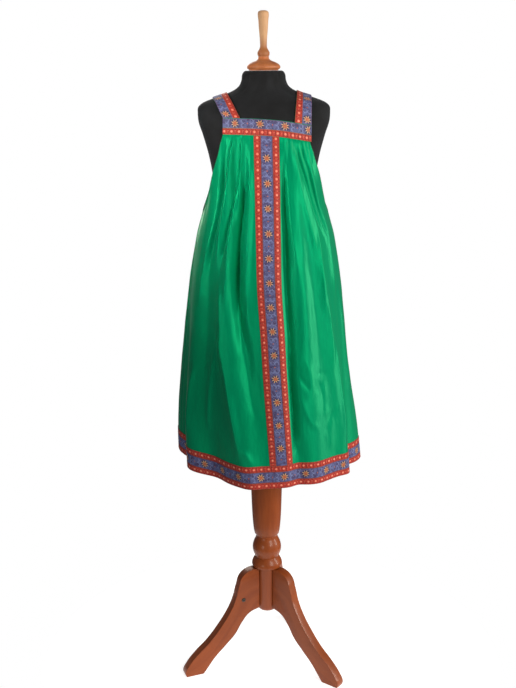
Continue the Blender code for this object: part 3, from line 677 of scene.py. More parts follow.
def outward_normals(grid: Array, inside: Array, closed: bool) -> Array:
    """Unit normals of a grid of points.

    Args:
        grid: points by rows and columns.
        inside: points on the hollow side.
        closed: whether the rows run round and meet.

    Returns:
        Normals that look away from the inside.
    """
    padded = np.concatenate([grid[-2:], grid, grid[:2]], axis=0) if closed else grid
    along = np.gradient(padded, axis=0)
    normals = unit(np.cross(along[2:-2] if closed else along, np.gradient(grid, axis=1)))
    return -normals if np.sum(normals * (grid - inside)) < 0 else normals


class MeshBuilder:
    """Gathers shells and motifs with their patterns' coordinates, and turns them into one mesh object."""

    def __init__(self) -> None:
        """Starts empty."""
        self.points: list[Array] = []
        self.faces: list[tuple[Array, Array, int]] = []
        self.count = 0

    def add_points(self, points: Array) -> int:
        """Adds points.

        Args:
            points: with x, y and z last.

        Returns:
            The number of the first.
        """
        first = self.count
        self.points.append(points.reshape(-1, 3))
        self.count += len(self.points[-1])
        return first

    def add_faces(self, corners: Array, spots: Array, slot: int) -> None:
        """Adds faces of one number of sides: their corners' numbers and places in the pattern, and their material."""
        self.faces.append((corners.reshape(-1, corners.shape[-1]), spots.reshape(-1, 2), slot))

    def add_shell(self, grid: Array, inside: Array, low: float, high: Array | float,
                  spots: Array, slot: int = 0, closed: bool = False) -> None:
        """Adds a closed wall that follows a grid.

        Args:
            grid: points by rows and columns.
            inside: points on the hollow side.
            low: the inner face's offset.
            high: the outer face's, one or one for each column.
            spots: places in the pattern.
            slot: its material.
            closed: whether the rows run round and meet.
        """
        rows, columns = grid.shape[:2]
        normals = outward_normals(grid, inside, closed)
        lift = np.broadcast_to(np.asarray(high, float), (rows, columns))[..., None]
        outer = self.add_points(grid + normals * lift)
        inner = self.add_points(grid + normals * low)
        runs = rows if closed else rows - 1
        i, j = np.meshgrid(np.arange(runs), np.arange(columns - 1), indexing="ij")
        here, there = i * columns + j, ((i + 1) % rows) * columns + j
        quads = joined(here, there, there + 1, here + 1)
        marks = np.stack([spots[i, j], spots[i + 1, j], spots[i + 1, j + 1], spots[i, j + 1]], axis=-2)
        middle = (rows // 2, columns // 2)
        along = grid[(middle[0] + 1) % rows, middle[1]] - grid[middle]
        across = grid[middle[0], middle[1] - 1] - grid[middle]
        if np.dot(np.cross(along, across), normals[middle]) > 0:
            quads, marks = quads[..., ::-1], marks[..., ::-1, :]
        self.add_faces(outer + quads, marks, slot)
        self.add_faces(inner + quads[..., ::-1], marks[..., ::-1, :], slot)
        turn = 1 if quads[0, 0, 0] == 0 else -1
        k = np.arange(runs)
        rims = [(k * columns + edge, ((k + 1) % rows) * columns + edge, spots[k, edge], spots[k + 1, edge], way)
                for edge, way in ((0, turn), (columns - 1, -turn))]
        k = np.arange(columns - 1)
        rims += [] if closed else [(edge * columns + k, edge * columns + k + 1, spots[edge, k], spots[edge, k + 1], way)
                                   for edge, way in ((0, -turn), (rows - 1, turn))]
        for a, b, spot_a, spot_b, way in rims:
            rim = joined(outer + a, inner + a, inner + b, outer + b)
            self.add_faces(rim[:, ::way], np.stack([spot_a, spot_a, spot_b, spot_b], axis=-2)[:, ::way], slot)

    def add_plate(self, top: Array, bottom: Array, spot: tuple[float, float], slot: int) -> None:
        """Adds a thin closed plate.

        Args:
            top: its upper outline, anticlockwise from outside.
            bottom: its lower outline.
            spot: its place in the pattern.
            slot: its material.
        """
        upper, lower = self.add_points(top), self.add_points(bottom)
        k = np.arange(len(top))
        after = (k + 1) % len(top)
        self.add_faces(upper + k, np.tile(spot, (len(top), 1)), slot)
        self.add_faces(lower + k[::-1], np.tile(spot, (len(top), 1)), slot)
        walls = joined(upper + k, lower + k, lower + after, upper + after)
        self.add_faces(walls, np.tile(spot, (walls.size, 1)), slot)

    def add_loft(self, rings: Array, spots: Array, slot: int = 0) -> None:
        """Adds a solid through rings that run from the bottom up, each anticlockwise.

        Args:
            rings: points, ring by ring.
            spots: places in the pattern, one more to a ring.
            slot: its material.
        """
        first = self.add_points(rings)
        count, steps = rings.shape[:2]
        i, k = np.meshgrid(np.arange(count - 1), np.arange(steps), indexing="ij")
        after = (k + 1) % steps
        quads = joined(i * steps + k, i * steps + after, (i + 1) * steps + after, (i + 1) * steps + k)
        marks = np.stack([spots[i, k], spots[i, k + 1], spots[i + 1, k + 1], spots[i + 1, k]], axis=-2)
        self.add_faces(first + quads, marks, slot)
        for ring, turn in ((0, -1), (count - 1, 1)):
            self.add_faces((first + ring * steps + np.arange(steps))[::turn], spots[ring, :steps][::turn], slot)

    def build(self, name: str, materials: Sequence[Material], smooth_below: float = 40) -> Piece:
        """Makes the mesh object.

        Args:
            name: its name.
            materials: its slots.
            smooth_below: degrees; sharper edges stay crisp.

        Returns:
            The linked object.
        """
        mesh = bpy.data.meshes.new(name)
        corners, spots, slots = zip(*self.faces)
        faces = [face for block in corners for face in block.tolist()]
        mesh.from_pydata(np.concatenate(self.points).tolist(), [], faces)
        layer = mesh.uv_layers.new(name=CLOTH_LAYER)
        layer.data.foreach_set("uv", np.concatenate(spots).astype(np.float32).ravel())
        slots = np.repeat(slots, [len(block) for block in corners])
        mesh.polygons.foreach_set("material_index", slots.astype(np.int32))
        for material in materials:
            mesh.materials.append(material)
        mesh.validate()
        mesh.shade_smooth()
        mesh.set_sharp_from_angle(angle=math.radians(smooth_below))
        return link(name, mesh)


def plain_mesh(item: Piece) -> Piece:
    """Turns a live object or curve into a plain mesh of the same name and place.

    Args:
        item: the object, which is removed.

    Returns:
        The new object, at the origin.
    """
    graph = bpy.context.evaluated_depsgraph_get()
    mesh = bpy.data.meshes.new_from_object(item.evaluated_get(graph))
    mesh.transform(item.matrix_world)
    name = item.name
    bpy.data.objects.remove(item, do_unlink=True)
    mesh.name = name
    return link(name, mesh)


@dataclass
class Strip:
    """A trim's bed: a grid of points along and across a piece of cloth, measured in metres."""

    grid: Array
    inside: Array
    closed: bool = False
    normals: Array = field(init=False)
    runs: Array = field(init=False)
    width: float = field(init=False)
    facing: float = field(init=False)

    def __post_init__(self) -> None:
        """Measures the bed."""
        self.normals = outward_normals(self.grid, self.inside, self.closed)
        row, middle = len(self.grid) // 2, self.grid.shape[1] // 2
        line = self.grid[:, middle]
        self.runs = run_lengths(np.concatenate([line, line[:1]]) if self.closed else line)
        self.width = float(np.mean(np.linalg.norm(np.diff(self.grid, axis=1), axis=2).sum(axis=1)))
        along = self.grid[row + 1, middle] - self.grid[row, middle]
        across = self.grid[row, -1] - self.grid[row, 0]
        self.facing = 1 if np.dot(np.cross(along, across), self.normals[row, middle]) > 0 else -1

    @property
    def length(self) -> float:
        """Length along the middle."""
        return float(self.runs[-1])

    def spots(self) -> Array:
        """Place of each point in the pattern: along, then across from the middle."""
        across = np.linspace(-self.width / 2, self.width / 2, self.grid.shape[1])
        return np.stack(np.meshgrid(self.runs, across, indexing="ij"), axis=-1)

    def place(self, along: Array, across: Array, lift: float) -> Array:
        """Points over the bed.

        Args:
            along: metres from the start.
            across: metres from the middle.
            lift: height.

        Returns:
            x, y and z last.
        """
        rows, columns = self.grid.shape[:2]
        i = np.interp(np.mod(along, self.length) if self.closed else along, self.runs, np.arange(len(self.runs)))
        j = np.clip((across / self.width + 0.5) * (columns - 1), 0, columns - 1)
        i0 = np.minimum(np.floor(i).astype(int), len(self.runs) - 2)
        j0 = np.minimum(np.floor(j).astype(int), columns - 2)
        u, v = (i - i0)[..., None], (j - j0)[..., None]
        i1 = (i0 + 1) % rows

        def blend(field_of: Array) -> Array:
            """Value of a grid between its points."""
            low, high = (field_of[i0, side] * (1 - u) + field_of[i1, side] * u for side in (j0, j0 + 1))
            return low * (1 - v) + high * v

        return blend(self.grid) + blend(self.normals) * lift


# ---- woven motifs
class Thread(Enum):
    """Material slots of a woven trim."""

    GROUND = 0
    LIGHT = 1
    WARM = 2
    DARK = 3
    SOFT = 4


def ring_outline(radius: float, sides: int = 8) -> Array:
    """A small circle's outline, anticlockwise."""
    around = np.radians(np.arange(0, 360, 360 // sides))
    return joined(np.cos(around), np.sin(around)) * radius


@dataclass(frozen=True)
class StarMotif:
    """An eight-petalled star between two pairs of curls, as woven along the ribbon."""

    repeat: float = 0.0518
    reach: float = 0.0098
    short: float = 0.9  # share of the reach that every other petal has
    worn: float = 0.92  # size of every third star, where the weave has drawn in
    petal_start: float = 0.0012
    petal_half_width: float = 0.00115
    shadow_start: float = 0.0026
    tip_share: float = 0.5
    heart: float = 0.0018
    curl_radius: float = 0.0042
    curl_thread: float = 0.0005
    curl_at: tuple[float, float] = (0.0176, 0.0046)
    hook_radius: float = 0.002
    hook_at: tuple[float, float] = (0.0133, 0.008)
    bud_at: float = 0.0066  # of the dark buds, from the ribbon's middle

    def petal(self, turn: float, start: float, end: float, half_width: float) -> Array:
        """Outline of one petal.

        Args:
            turn: radians from the ribbon's run.
            start: its root.
            end: its tip.
            half_width: half its breadth.

        Returns:
            Points, anticlockwise.
        """
        along = start + (end - start) * np.array([0, 0.3, 0.65, 1])
        breadth = np.array([0.55, 1, 0.8, 0]) * half_width
        points = np.concatenate([joined(along, -breadth), joined(along, breadth)[-2::-1]])
        c, s = math.cos(turn), math.sin(turn)
        return points @ np.array([[c, s], [-s, c]])

    def curl(self, centre: tuple[float, float], radius: float, start: float, sweep: float) -> Array:
        """A tapering arc of thread.

        Args:
            centre: its middle.
            radius: metres.
            start: degrees at which it begins.
            sweep: degrees it turns through.

        Returns:
            Points, anticlockwise.
        """
        angles = np.radians(start + sweep * np.linspace(0, 1, 8))[:, None]
        thread = self.curl_thread * np.array([0.7, 1, 1.15, 1.2, 1.1, 0.95, 0.75, 0.5])[:, None]
        spoke = np.concatenate([np.cos(angles), np.sin(angles)], axis=1)
        ring = np.concatenate([spoke * (radius + thread), (spoke * (radius - thread))[::-1]]) + centre
        return ring if sweep > 0 else ring[::-1]

    def shapes(self, number: int) -> list[Shape]:
        """One repeat's shapes.

        Args:
            number: which star it is along the ribbon.

        Returns:
            Thread, lift and outline round the star's middle.
        """
        made, half, start = [], self.petal_half_width, self.petal_start
        for k in range(8):
            turn = math.radians(22.5 + 45 * k)
            reach = self.reach * (self.worn if number % 3 == 1 else 1) * (1 if k % 2 else self.short)
            # The dark petals, turned between the light ones from shadow_start on, are painted shadow in the navy
            # thread.
            made += [(Thread.DARK, 0.00005, self.petal(turn + math.radians(22.5), self.shadow_start,
                                                       self.reach * 0.98, half * 1.55)),
                     (Thread.LIGHT, 0.0001, self.petal(turn, start, reach, half)),
                     (Thread.WARM, 0.00015, self.petal(turn, start, reach * self.tip_share, half * 1.15))]
        made.append((Thread.WARM, 0.0002, ring_outline(self.heart)))
        for side, up in ((-1, -1), (-1, 1), (1, -1), (1, 1)):
            middle = (side * self.curl_at[0], up * self.curl_at[1])
            hook = (side * self.hook_at[0], up * self.hook_at[1])
            start = 90 * up if side > 0 else 180 - 90 * up
            made += [(Thread.SOFT, 0.00006, self.curl(middle, self.curl_radius, start, 250 * up * side)),
                     (Thread.SOFT, 0.00006, self.curl(hook, self.hook_radius, 200, 160)),
                     (Thread.DARK, 0.00006, self.petal(math.radians(90 * (2 + up * side)), 0, 0.0022, 0.0007)
                      + middle)]
        return made

    def bud(self) -> list[Shape]:
        """The small bud halfway between two stars, between two dark ones."""
        diamond = np.array([(0.0012, 0), (0, 0.0022), (-0.0012, 0), (0, -0.0022)])
        return [(Thread.WARM, 0.00008, diamond), (Thread.DARK, 0.00006, diamond * 0.7 + (0, self.bud_at)),
                (Thread.DARK, 0.00006, diamond * 0.7 - (0, self.bud_at))]


@dataclass(frozen=True)
class BraidMotif:
    """A bright dot and a pale tick in turn, as woven along the braid."""

    repeat: float = 0.0164
    dot_radius: float = 0.0031
    heart_share: float = 0.62

    def dot(self) -> list[Shape]:
        """The dot, with a paler middle."""
        circle = ring_outline(self.dot_radius)
        return [(Thread.WARM, 0.00008, circle), (Thread.LIGHT, 0.00015, circle * self.heart_share)]

    def tick(self) -> list[Shape]:
        """The tick, a small fork across the braid."""
        fork = np.array([(0.0005, -0.0028), (0.0005, 0.0004), (0.0021, 0.0026), (0.001, 0.003), (0, 0.0014),
                         (-0.001, 0.003), (-0.0021, 0.0026), (-0.0005, 0.0004), (-0.0005, -0.0028)])
        return [(Thread.WARM, 0.00008, fork)]


class TrimKind(Enum):
    """The two woven trims."""

    RIBBON = "ribbon"
    BRAID = "braid"


@dataclass
class WovenTrim:
    """A ribbon or braid sewn on a bed of cloth, with its motifs woven in."""

    name: str
    kind: TrimKind
    bed: Strip
    first_star: float  # metres from the start of the bed
    thickness: float = 0.0008
    edge_thickness: float = 0.00045
    lift: float = 0.0001
    sink: float = 0.00015
    end_margin: float = 0.0006

    def motifs(self) -> Iterable[tuple[list[Shape], float]]:
        """Each motif's shapes with its place along the trim."""
        star, braid, closed, length = StarMotif(), BraidMotif(), self.bed.closed, self.bed.length
        if self.kind is TrimKind.RIBBON:
            count = round(length / star.repeat) if closed else int((length - self.first_star) / star.repeat) + 2
            pitch = length / count if closed else star.repeat
            for k in range(count):
                middle = self.first_star + pitch * (k if closed else k - 1)
                yield star.shapes(k), middle
                yield star.bud(), middle + pitch / 2
        else:
            count = round(length / braid.repeat)
            for k in range(count):
                yield braid.dot(), length / count * (k + 0.25)
                yield braid.tick(), length / count * (k + 0.75)

    def build(self, materials: Sequence[Material]) -> Piece:
        """Makes the trim's mesh, and leaves out the shapes that would pass its ends.

        Args:
            materials: one for each thread, in the order of Thread.

        Returns:
            The trim.
        """
        builder, bed = MeshBuilder(), self.bed
        share = np.abs(np.linspace(-1, 1, bed.grid.shape[1]))
        high = self.lift + self.edge_thickness + (self.thickness - self.edge_thickness) * (1 - share ** 6)
        builder.add_shell(bed.grid, bed.inside, self.lift, high, bed.spots(), Thread.GROUND.value, bed.closed)
        top = self.lift + self.thickness
        for shapes, middle in self.motifs():
            for thread, lift, outline in shapes:
                along, across = outline[:, 0] + middle, outline[:, 1] * bed.facing
                if bed.closed or (along.min() >= self.end_margin and along.max() <= bed.length - self.end_margin):
                    builder.add_plate(bed.place(along, across, top + lift), bed.place(along, across, top - self.sink),
                                      (middle, 0), thread.value)
        return builder.build(self.name, materials)


# ---- materials
def linear(code: str) -> tuple[float, float, float, float]:
    """Linear colour of an sRGB hex code."""
    parts = [int(code[i:i + 2], 16) / 255 for i in (1, 3, 5)]
    return (*(p / 12.92 if p <= 0.04045 else ((p + 0.055) / 1.055) ** 2.4 for p in parts), 1)


class NodeSheet:
    """A node tree in the making."""

    def __init__(self, tree: bpy.types.NodeTree) -> None:
        """Starts with the tree empty."""
        self.tree = tree
        tree.nodes.clear()

    def add(self, kind: str, inputs: Mapping[str | int, Any] | None = None, **settings: Any) -> bpy.types.Node:
        """Adds a node with its settings and links.

        Args:
            kind: its type; a shader node's goes without its "ShaderNode".
            inputs: for each input, a node or socket to link, or a value.
            settings: its own settings.

        Returns:
            The node.
        """
        node = self.tree.nodes.new(kind if "Node" in kind else "ShaderNode" + kind)
        for name, value in settings.items():
            setattr(node, name, value)
        for key, value in (inputs or {}).items():
            if isinstance(value, bpy.types.Node):
                value = next(output for output in value.outputs if output.enabled)
            if isinstance(value, bpy.types.NodeSocket):
                self.tree.links.new(value, node.inputs[key])
            else:
                node.inputs[key].default_value = value
        return node


class Place(Enum):
    """Coordinates in metres that a pattern lies on: the node, its settings, and its output."""

    CLOTH = ("UVMap", {"uv_map": CLOTH_LAYER}, "UV")
    OBJECT = ("TexCoord", {}, "Object")
    GRAIN = ("Attribute", {"attribute_name": GRAIN_LAYER}, "Vector")


class Layer(NamedTuple):
    """A colour laid over those before it, between two values of a pattern, or as the pattern is."""

    pattern: Any
    colour: str
    low: float | None = None
    high: float = 1
    most: float = 1


class Painter(NodeSheet):
    """A material in the making, with the patterns that several share."""

    def __init__(self, name: str, tint: str, place: Place = Place.OBJECT) -> None:
        """Starts a material.

        Args:
            name: its name.
            tint: its colour in a plain viewport.
            place: what its patterns lie on.
        """
        self.made = bpy.data.materials.new(name)
        self.made.use_nodes = True
        self.made.diffuse_color = linear(tint)
        super().__init__(self.made.node_tree)
        kind, settings, output = place.value
        self.spot = self.add(kind, **settings).outputs[output]

    def mottle(self, cells: Sequence[float], low: float, high: float, detail: float = 2) -> bpy.types.Node:
        """Soft patches, so many to a metre along each axis, that set in and fill between two values of a noise."""
        cell = self.add("VectorMath", {0: self.spot, 1: cells}, operation="MULTIPLY")
        noise = self.add("TexNoise", {"Vector": cell, "Scale": 1, "Detail": detail, "Roughness": 0.55})
        return self.add("MapRange", {0: noise, 1: low, 2: high}, interpolation_type="SMOOTHSTEP")

    def ribs(self, along: Any, pitch: float) -> bpy.types.Node:
        """Even ridges, from 0 to 1, that follow one another along a coordinate."""
        turns = self.add("Math", {0: along, 1: 2 * math.pi / pitch}, operation="MULTIPLY")
        wave = self.add("Math", {0: turns}, operation="SINE")
        return self.add("Math", {0: wave, 1: 0.5, 2: 0.5}, operation="MULTIPLY_ADD")

    def finish(self, base: str, layers: Sequence[Layer], bumps: Sequence[tuple[Any, float, float]],
               surface: Mapping[str, Any]) -> Material:
        """Ends the tree with a principled surface.

        Args:
            base: the lowest colour.
            layers: the colours over it.
            bumps: reliefs, each with its height in metres and its strength.
            surface: the surface's other values.

        Returns:
            The material.
        """
        colour, normal = linear(base), None
        for pattern, upper, low, high, most in layers:
            if low is not None:
                pattern = self.add("MapRange", {0: pattern, 1: low, 2: high, 4: most},
                                   interpolation_type="SMOOTHSTEP")
            colour = self.add("Mix", {0: pattern, 6: colour, 7: linear(upper)}, data_type="RGBA")
        for relief, metres, strength in bumps:
            inputs = {"Height": relief, "Distance": metres, "Strength": strength}
            normal = self.add("Bump", inputs if normal is None else {**inputs, "Normal": normal})
        shader = self.add("BsdfPrincipled", {"Base Color": colour, "Normal": normal, **surface})
        self.add("OutputMaterial", {"Surface": shader})
        return self.made


@dataclass(frozen=True)
class SatinWeave:
    """Green acetate satin: long warp floats give it a coloured shine, streaked down the cloth."""

    body: str = "#009160"
    shade: str = "#00885D"
    light: str = "#04A66A"
    float_pitch: float = 0.0011  # metres; coarser than the real 0.3 mm, so that it shows at this distance

    def material(self) -> Material:
        """Makes the material."""
        paint = Painter("green_satin", self.body, Place.CLOTH)
        streak = paint.mottle((1 / self.float_pitch, 28, 1), 0.3, 0.75)
        return paint.finish(
            self.shade,
            [Layer(paint.mottle((30, 4, 1), 0.3, 0.7, 3), self.body),
             Layer(streak, self.light, 0.45, 1, 0.25)],
            [(paint.mottle((60, 16, 1), 0.2, 0.8), 0.001, 0.5),
             (paint.mottle((160, 60, 1), 0.2, 0.8, 3), 0.0004, 0.35), (streak, 0.00008, 0.4)],
            {"Roughness": paint.add("Math", {0: streak, 1: 0.08, 2: 0.4}, operation="MULTIPLY_ADD"),
             "Tangent": paint.add("Tangent", direction_type="UV_MAP", uv_map=CLOTH_LAYER), "Metallic": 0.2,
             "Anisotropic": 0.6, "Anisotropic Rotation": 0.25, "Specular Tint": linear("#4CD488"),
             "Specular IOR Level": 0.35, "Sheen Weight": 0.04, "Sheen Roughness": 0.5,
             "Sheen Tint": linear("#2FCB84")})


@dataclass(frozen=True)
class JacquardRibbon:
    """The ribbon's ground: periwinkle weft over fine ribs, matt with a faint self-coloured figure."""

    ground: str = "#595E8E"
    dusk: str = "#42345E"
    figure: str = "#7C84B2"
    gap: str = "#32355A"
    selvedge: str = "#743A60"
    rib_pitch: float = 0.0012  # metres; a little coarser than the real ribs, so that they show

    def material(self) -> Material:
        """Makes the material."""
        paint = Painter("jacquard_ribbon", self.ground, Place.CLOTH)
        along, across, _ = paint.add("SeparateXYZ", {0: paint.spot}).outputs
        weft, warp = paint.ribs(along, self.rib_pitch), paint.ribs(across, self.rib_pitch * 0.7)
        cells = paint.add("TexVoronoi", {"Vector": paint.spot, "Scale": 260}, feature="SMOOTH_F1")
        from_middle = paint.add("Math", {0: across}, operation="ABSOLUTE")
        return paint.finish(
            self.dusk,
            [Layer(paint.mottle((140, 90, 1), 0.34, 0.62, 3), self.ground),
             Layer(cells, self.figure, 0.3, 0.16, 0.45), Layer(weft, self.gap, 0.6, 0, 0.25),
             Layer(from_middle, self.selvedge, RIBBON_WIDTH * 0.44, RIBBON_WIDTH * 0.49, 0.6)],
            [(paint.add("Math", {0: warp, 1: 0.5, 2: weft}, operation="MULTIPLY_ADD"), 0.00018, 0.7)],
            {"Roughness": 0.58, "Sheen Weight": 0.25, "Sheen Roughness": 0.4, "Sheen Tint": linear("#B8BEE8"),
             "Specular IOR Level": 0.4})


@dataclass(frozen=True)
class WovenBraid:
    """The braid's ground: bright red weft with dark cross bars and a raised selvedge, matt and ribbed."""

    ground: str = "#BC3426"
    deep: str = "#A22A20"
    bar: str = "#6E1715"
    selvedge: str = "#BE5A3A"
    rib_pitch: float = 0.0011  # metres

    def material(self) -> Material:
        """Makes the material."""
        paint = Painter("woven_braid", self.ground, Place.CLOTH)
        along, across, _ = paint.add("SeparateXYZ", {0: paint.spot}).outputs
        turns = paint.add("Math", {0: along, 1: BraidMotif().repeat}, operation="DIVIDE")
        phase = paint.add("Math", {0: turns, 1: 0.5}, operation="PINGPONG")
        beside = paint.add("Math", {0: phase, 1: 0.25}, operation="SUBTRACT")
        off_bar = paint.add("Math", {0: beside}, operation="ABSOLUTE")
        from_middle = paint.add("Math", {0: across}, operation="ABSOLUTE")
        weft = paint.ribs(along, self.rib_pitch)
        rim = paint.add("MapRange", {0: from_middle, 1: BRAID_WIDTH * 0.385, 2: BRAID_WIDTH * 0.41},
                        interpolation_type="SMOOTHSTEP")
        return paint.finish(
            self.deep,
            [Layer(paint.mottle((180, 260, 1), 0.35, 0.65), self.ground),
             Layer(off_bar, self.bar, 0.075, 0.035, 0.85), Layer(rim, self.selvedge),
             Layer(from_middle, self.bar, BRAID_WIDTH * 0.455, BRAID_WIDTH * 0.47),
             Layer(weft, self.bar, 0.6, 0, 0.3)],
            [(paint.add("Math", {0: rim, 1: 0.8, 2: weft}, operation="MULTIPLY_ADD"), 0.00022, 0.7)],
            {"Roughness": 0.62, "Sheen Weight": 0.2, "Sheen Roughness": 0.4, "Sheen Tint": linear("#F0A088"),
             "Specular IOR Level": 0.35})


@dataclass(frozen=True)
class TwistedThread:
    """Slightly glossy thread: rayon that floats over a trim's ground, or a finer one that sews."""

    name: str
    colour: str
    dark: str
    twists: float = 1250  # to a metre
    low: float = 0.32
    high: float = 0.62
    bump: tuple[float, float] = (0.00015, 0.6)
    surface: tuple[float, float, float] = (0.48, 0.2, 0.45)  # roughness, sheen, specular level

    def material(self) -> Material:
        """Makes the material."""
        paint = Painter(self.name, self.colour)
        twist = paint.mottle((self.twists,) * 3, self.low, self.high)
        return paint.finish(self.dark, [Layer(twist, self.colour)], [(twist, *self.bump)],
                            dict(zip(("Roughness", "Sheen Weight", "Specular IOR Level"), self.surface)))


@dataclass(frozen=True)
class FormJersey:
    """Black cotton jersey drawn tight over the form: deep and matt, with a soft nap and a little lint."""

    black: str = "#0F0F11"
    worn: str = "#1A1B1E"
    lint: str = "#3A3B40"
    wale: float = 0.0012  # metres; coarser than the real 0.7 mm, so that it shows close to

    def material(self) -> Material:
        """Makes the material."""
        paint = Painter("black_jersey", self.black, Place.CLOTH)
        along, across, _ = paint.add("SeparateXYZ", {0: paint.spot}).outputs
        knit = paint.add("Math", {0: paint.ribs(along, self.wale), 1: paint.ribs(across, self.wale * 0.8)},
                         operation="MULTIPLY")
        fluff = paint.mottle((300, 300, 1), 0.62, 0.8, 3)
        return paint.finish(
            self.black,
            [Layer(paint.mottle((16, 16, 1), 0.35, 0.75, 3), self.worn), Layer(fluff, self.lint, 0, 1, 0.5)],
            [(paint.add("Math", {0: fluff, 1: 0.6, 2: knit}, operation="MULTIPLY_ADD"), 0.00016, 0.6)],
            {"Roughness": 0.86, "Sheen Weight": 0.2, "Sheen Roughness": 0.45, "Sheen Tint": linear("#9A9BA3"),
             "Specular IOR Level": 0.25})


@dataclass(frozen=True)
class VarnishedBeech:
    """Stained beech under gloss varnish: straight grain with short dark flecks beneath a clear shine."""

    name: str
    early: str
    late: str
    fleck: str
    place: Place = Place.OBJECT
    rubbed: str | None = None  # paler wood where hands have worn the stain, above rubbed_from
    rubbed_from: float = 1.425  # metres up

    def material(self) -> Material:
        """Makes the material."""
        paint = Painter(self.name, self.early, self.place)
        pores = paint.mottle((420, 420, 14), 0.45, 0.75)
        layers = [Layer(paint.mottle((60, 60, 4), 0.3, 0.75, 3), self.late),
                  Layer(pores, self.late, 0, 1, 0.3),
                  Layer(paint.mottle((900, 900, 160), 0.66, 0.76), self.fleck, 0, 1, 0.4),
                  Layer(paint.mottle((14, 14, 9), 0.45, 1.2), self.fleck)]
        if self.rubbed:
            height = paint.add("SeparateXYZ", {0: paint.spot}).outputs[2]
            layers.insert(1, Layer(height, self.rubbed, self.rubbed_from, self.rubbed_from + 0.035, 0.82))
        return paint.finish(self.early, layers, [(pores, 0.00005, 0.4)],
                            {"Roughness": 0.45, "Coat Weight": 0.22, "Coat Roughness": 0.15, "Coat IOR": 1.5,
                             "Specular IOR Level": 0.22})


@dataclass(frozen=True)
class DarkSteel:
    """Blackened steel of a screw head, dull, and rubbed bright in places."""

    colour: str = "#3A3836"
    rubbed: str = "#6A625A"

    def material(self) -> Material:
        """Makes the material."""
        paint = Painter("dark_steel", self.colour)
        wear = paint.mottle((800,) * 3, 0.35, 0.7)
        gloss = paint.add("Math", {0: wear, 1: 0.2, 2: 0.32}, operation="MULTIPLY_ADD")
        return paint.finish(self.colour, [Layer(wear, self.rubbed)], [(wear, 0.00004, 0.5)],
                            {"Metallic": 0.9, "Roughness": gloss})


@dataclass(frozen=True)
class OpalAcrylic:
    """Backlit opal acrylic of a product table: even white that hardly takes a shadow."""

    colour: str = "#E2E3E4"
    glow: float = 0.78

    def material(self) -> Material:
        """Makes the material."""
        paint = Painter("opal_acrylic", self.colour)
        return paint.finish(self.colour, [], [(paint.mottle((260,) * 3, 0.3, 0.7), 0.00004, 0.4)],
                            {"Roughness": 0.9, "Specular IOR Level": 0.1, "Emission Color": linear("#FFFFFF"),
                             "Emission Strength": self.glow})


class Looks:
    """Every material of the scene, made once."""

    def __init__(self) -> None:
        """Makes the materials."""
        self.satin = SatinWeave().material()
        # The navy thread also makes the painted shadow between a star's petals.
        cream, orange, navy, pale, salmon, peach = (
            TwistedThread("thread_" + name, colour, dark).material()
            for name, colour, dark in (("cream", "#DCAF82", "#AE7850"), ("orange", "#C4683A", "#8E4024"),
                                       ("navy", "#2B2648", "#1B1832"), ("pale", "#8089B6", "#5C6696"),
                                       ("salmon", "#DC6248", "#B8402E"), ("peach", "#F09A7E", "#DC705A")))
        self.trims = {TrimKind.RIBBON: [JacquardRibbon().material(), cream, orange, navy, pale],
                      TrimKind.BRAID: [WovenBraid().material(), peach, salmon, navy, salmon]}
        fine = (2600, 0.3, 0.7, (0.00005, 0.5), (0.45, 0.1, 0.5))
        self.green_thread = TwistedThread("thread_green", "#148A56", "#0B5C39", *fine).material()
        self.red_thread = TwistedThread("thread_red", "#A62C2C", "#6E1A1E", *fine).material()
        self.jersey = FormJersey().material()
        wood = ("#92451A", "#823A13", "#55230C")
        self.turned_wood = VarnishedBeech("varnished_beech_turned", *wood).material()
        self.leg_wood = VarnishedBeech("varnished_beech_leg", *wood, place=Place.GRAIN).material()
        self.cap_wood = VarnishedBeech("varnished_beech_cap", "#C27748", "#A45C34", "#6A341A").material()
        self.pale_wood = VarnishedBeech("varnished_beech_rubbed", "#A8633A", "#98623A", "#6A3C20",
                                        rubbed="#D0A276").material()
        self.steel = DarkSteel().material()
        self.table = OpalAcrylic().material()


# ---- the garment
def hang(item: Piece, slot: str, *nodes: str) -> Piece:
    """Attaches a finished piece to the frame's root, and hides the solids it replaces.

    Args:
        item: the piece.
        slot: not used.
        nodes: the solids it replaces.

    Returns:
        The piece.
    """
    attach(item, "root")
    if nodes:
        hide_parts(*nodes)
    return item


def sew_trim(name: str, kind: TrimKind, bed: Strip, first_star: float, looks: Looks) -> Piece:
    """Makes a trim on its bed, in place of the solid of the same name."""
    return hang(WovenTrim("sewn_" + name, kind, bed, first_star).build(looks.trims[kind]), kind.value, name)


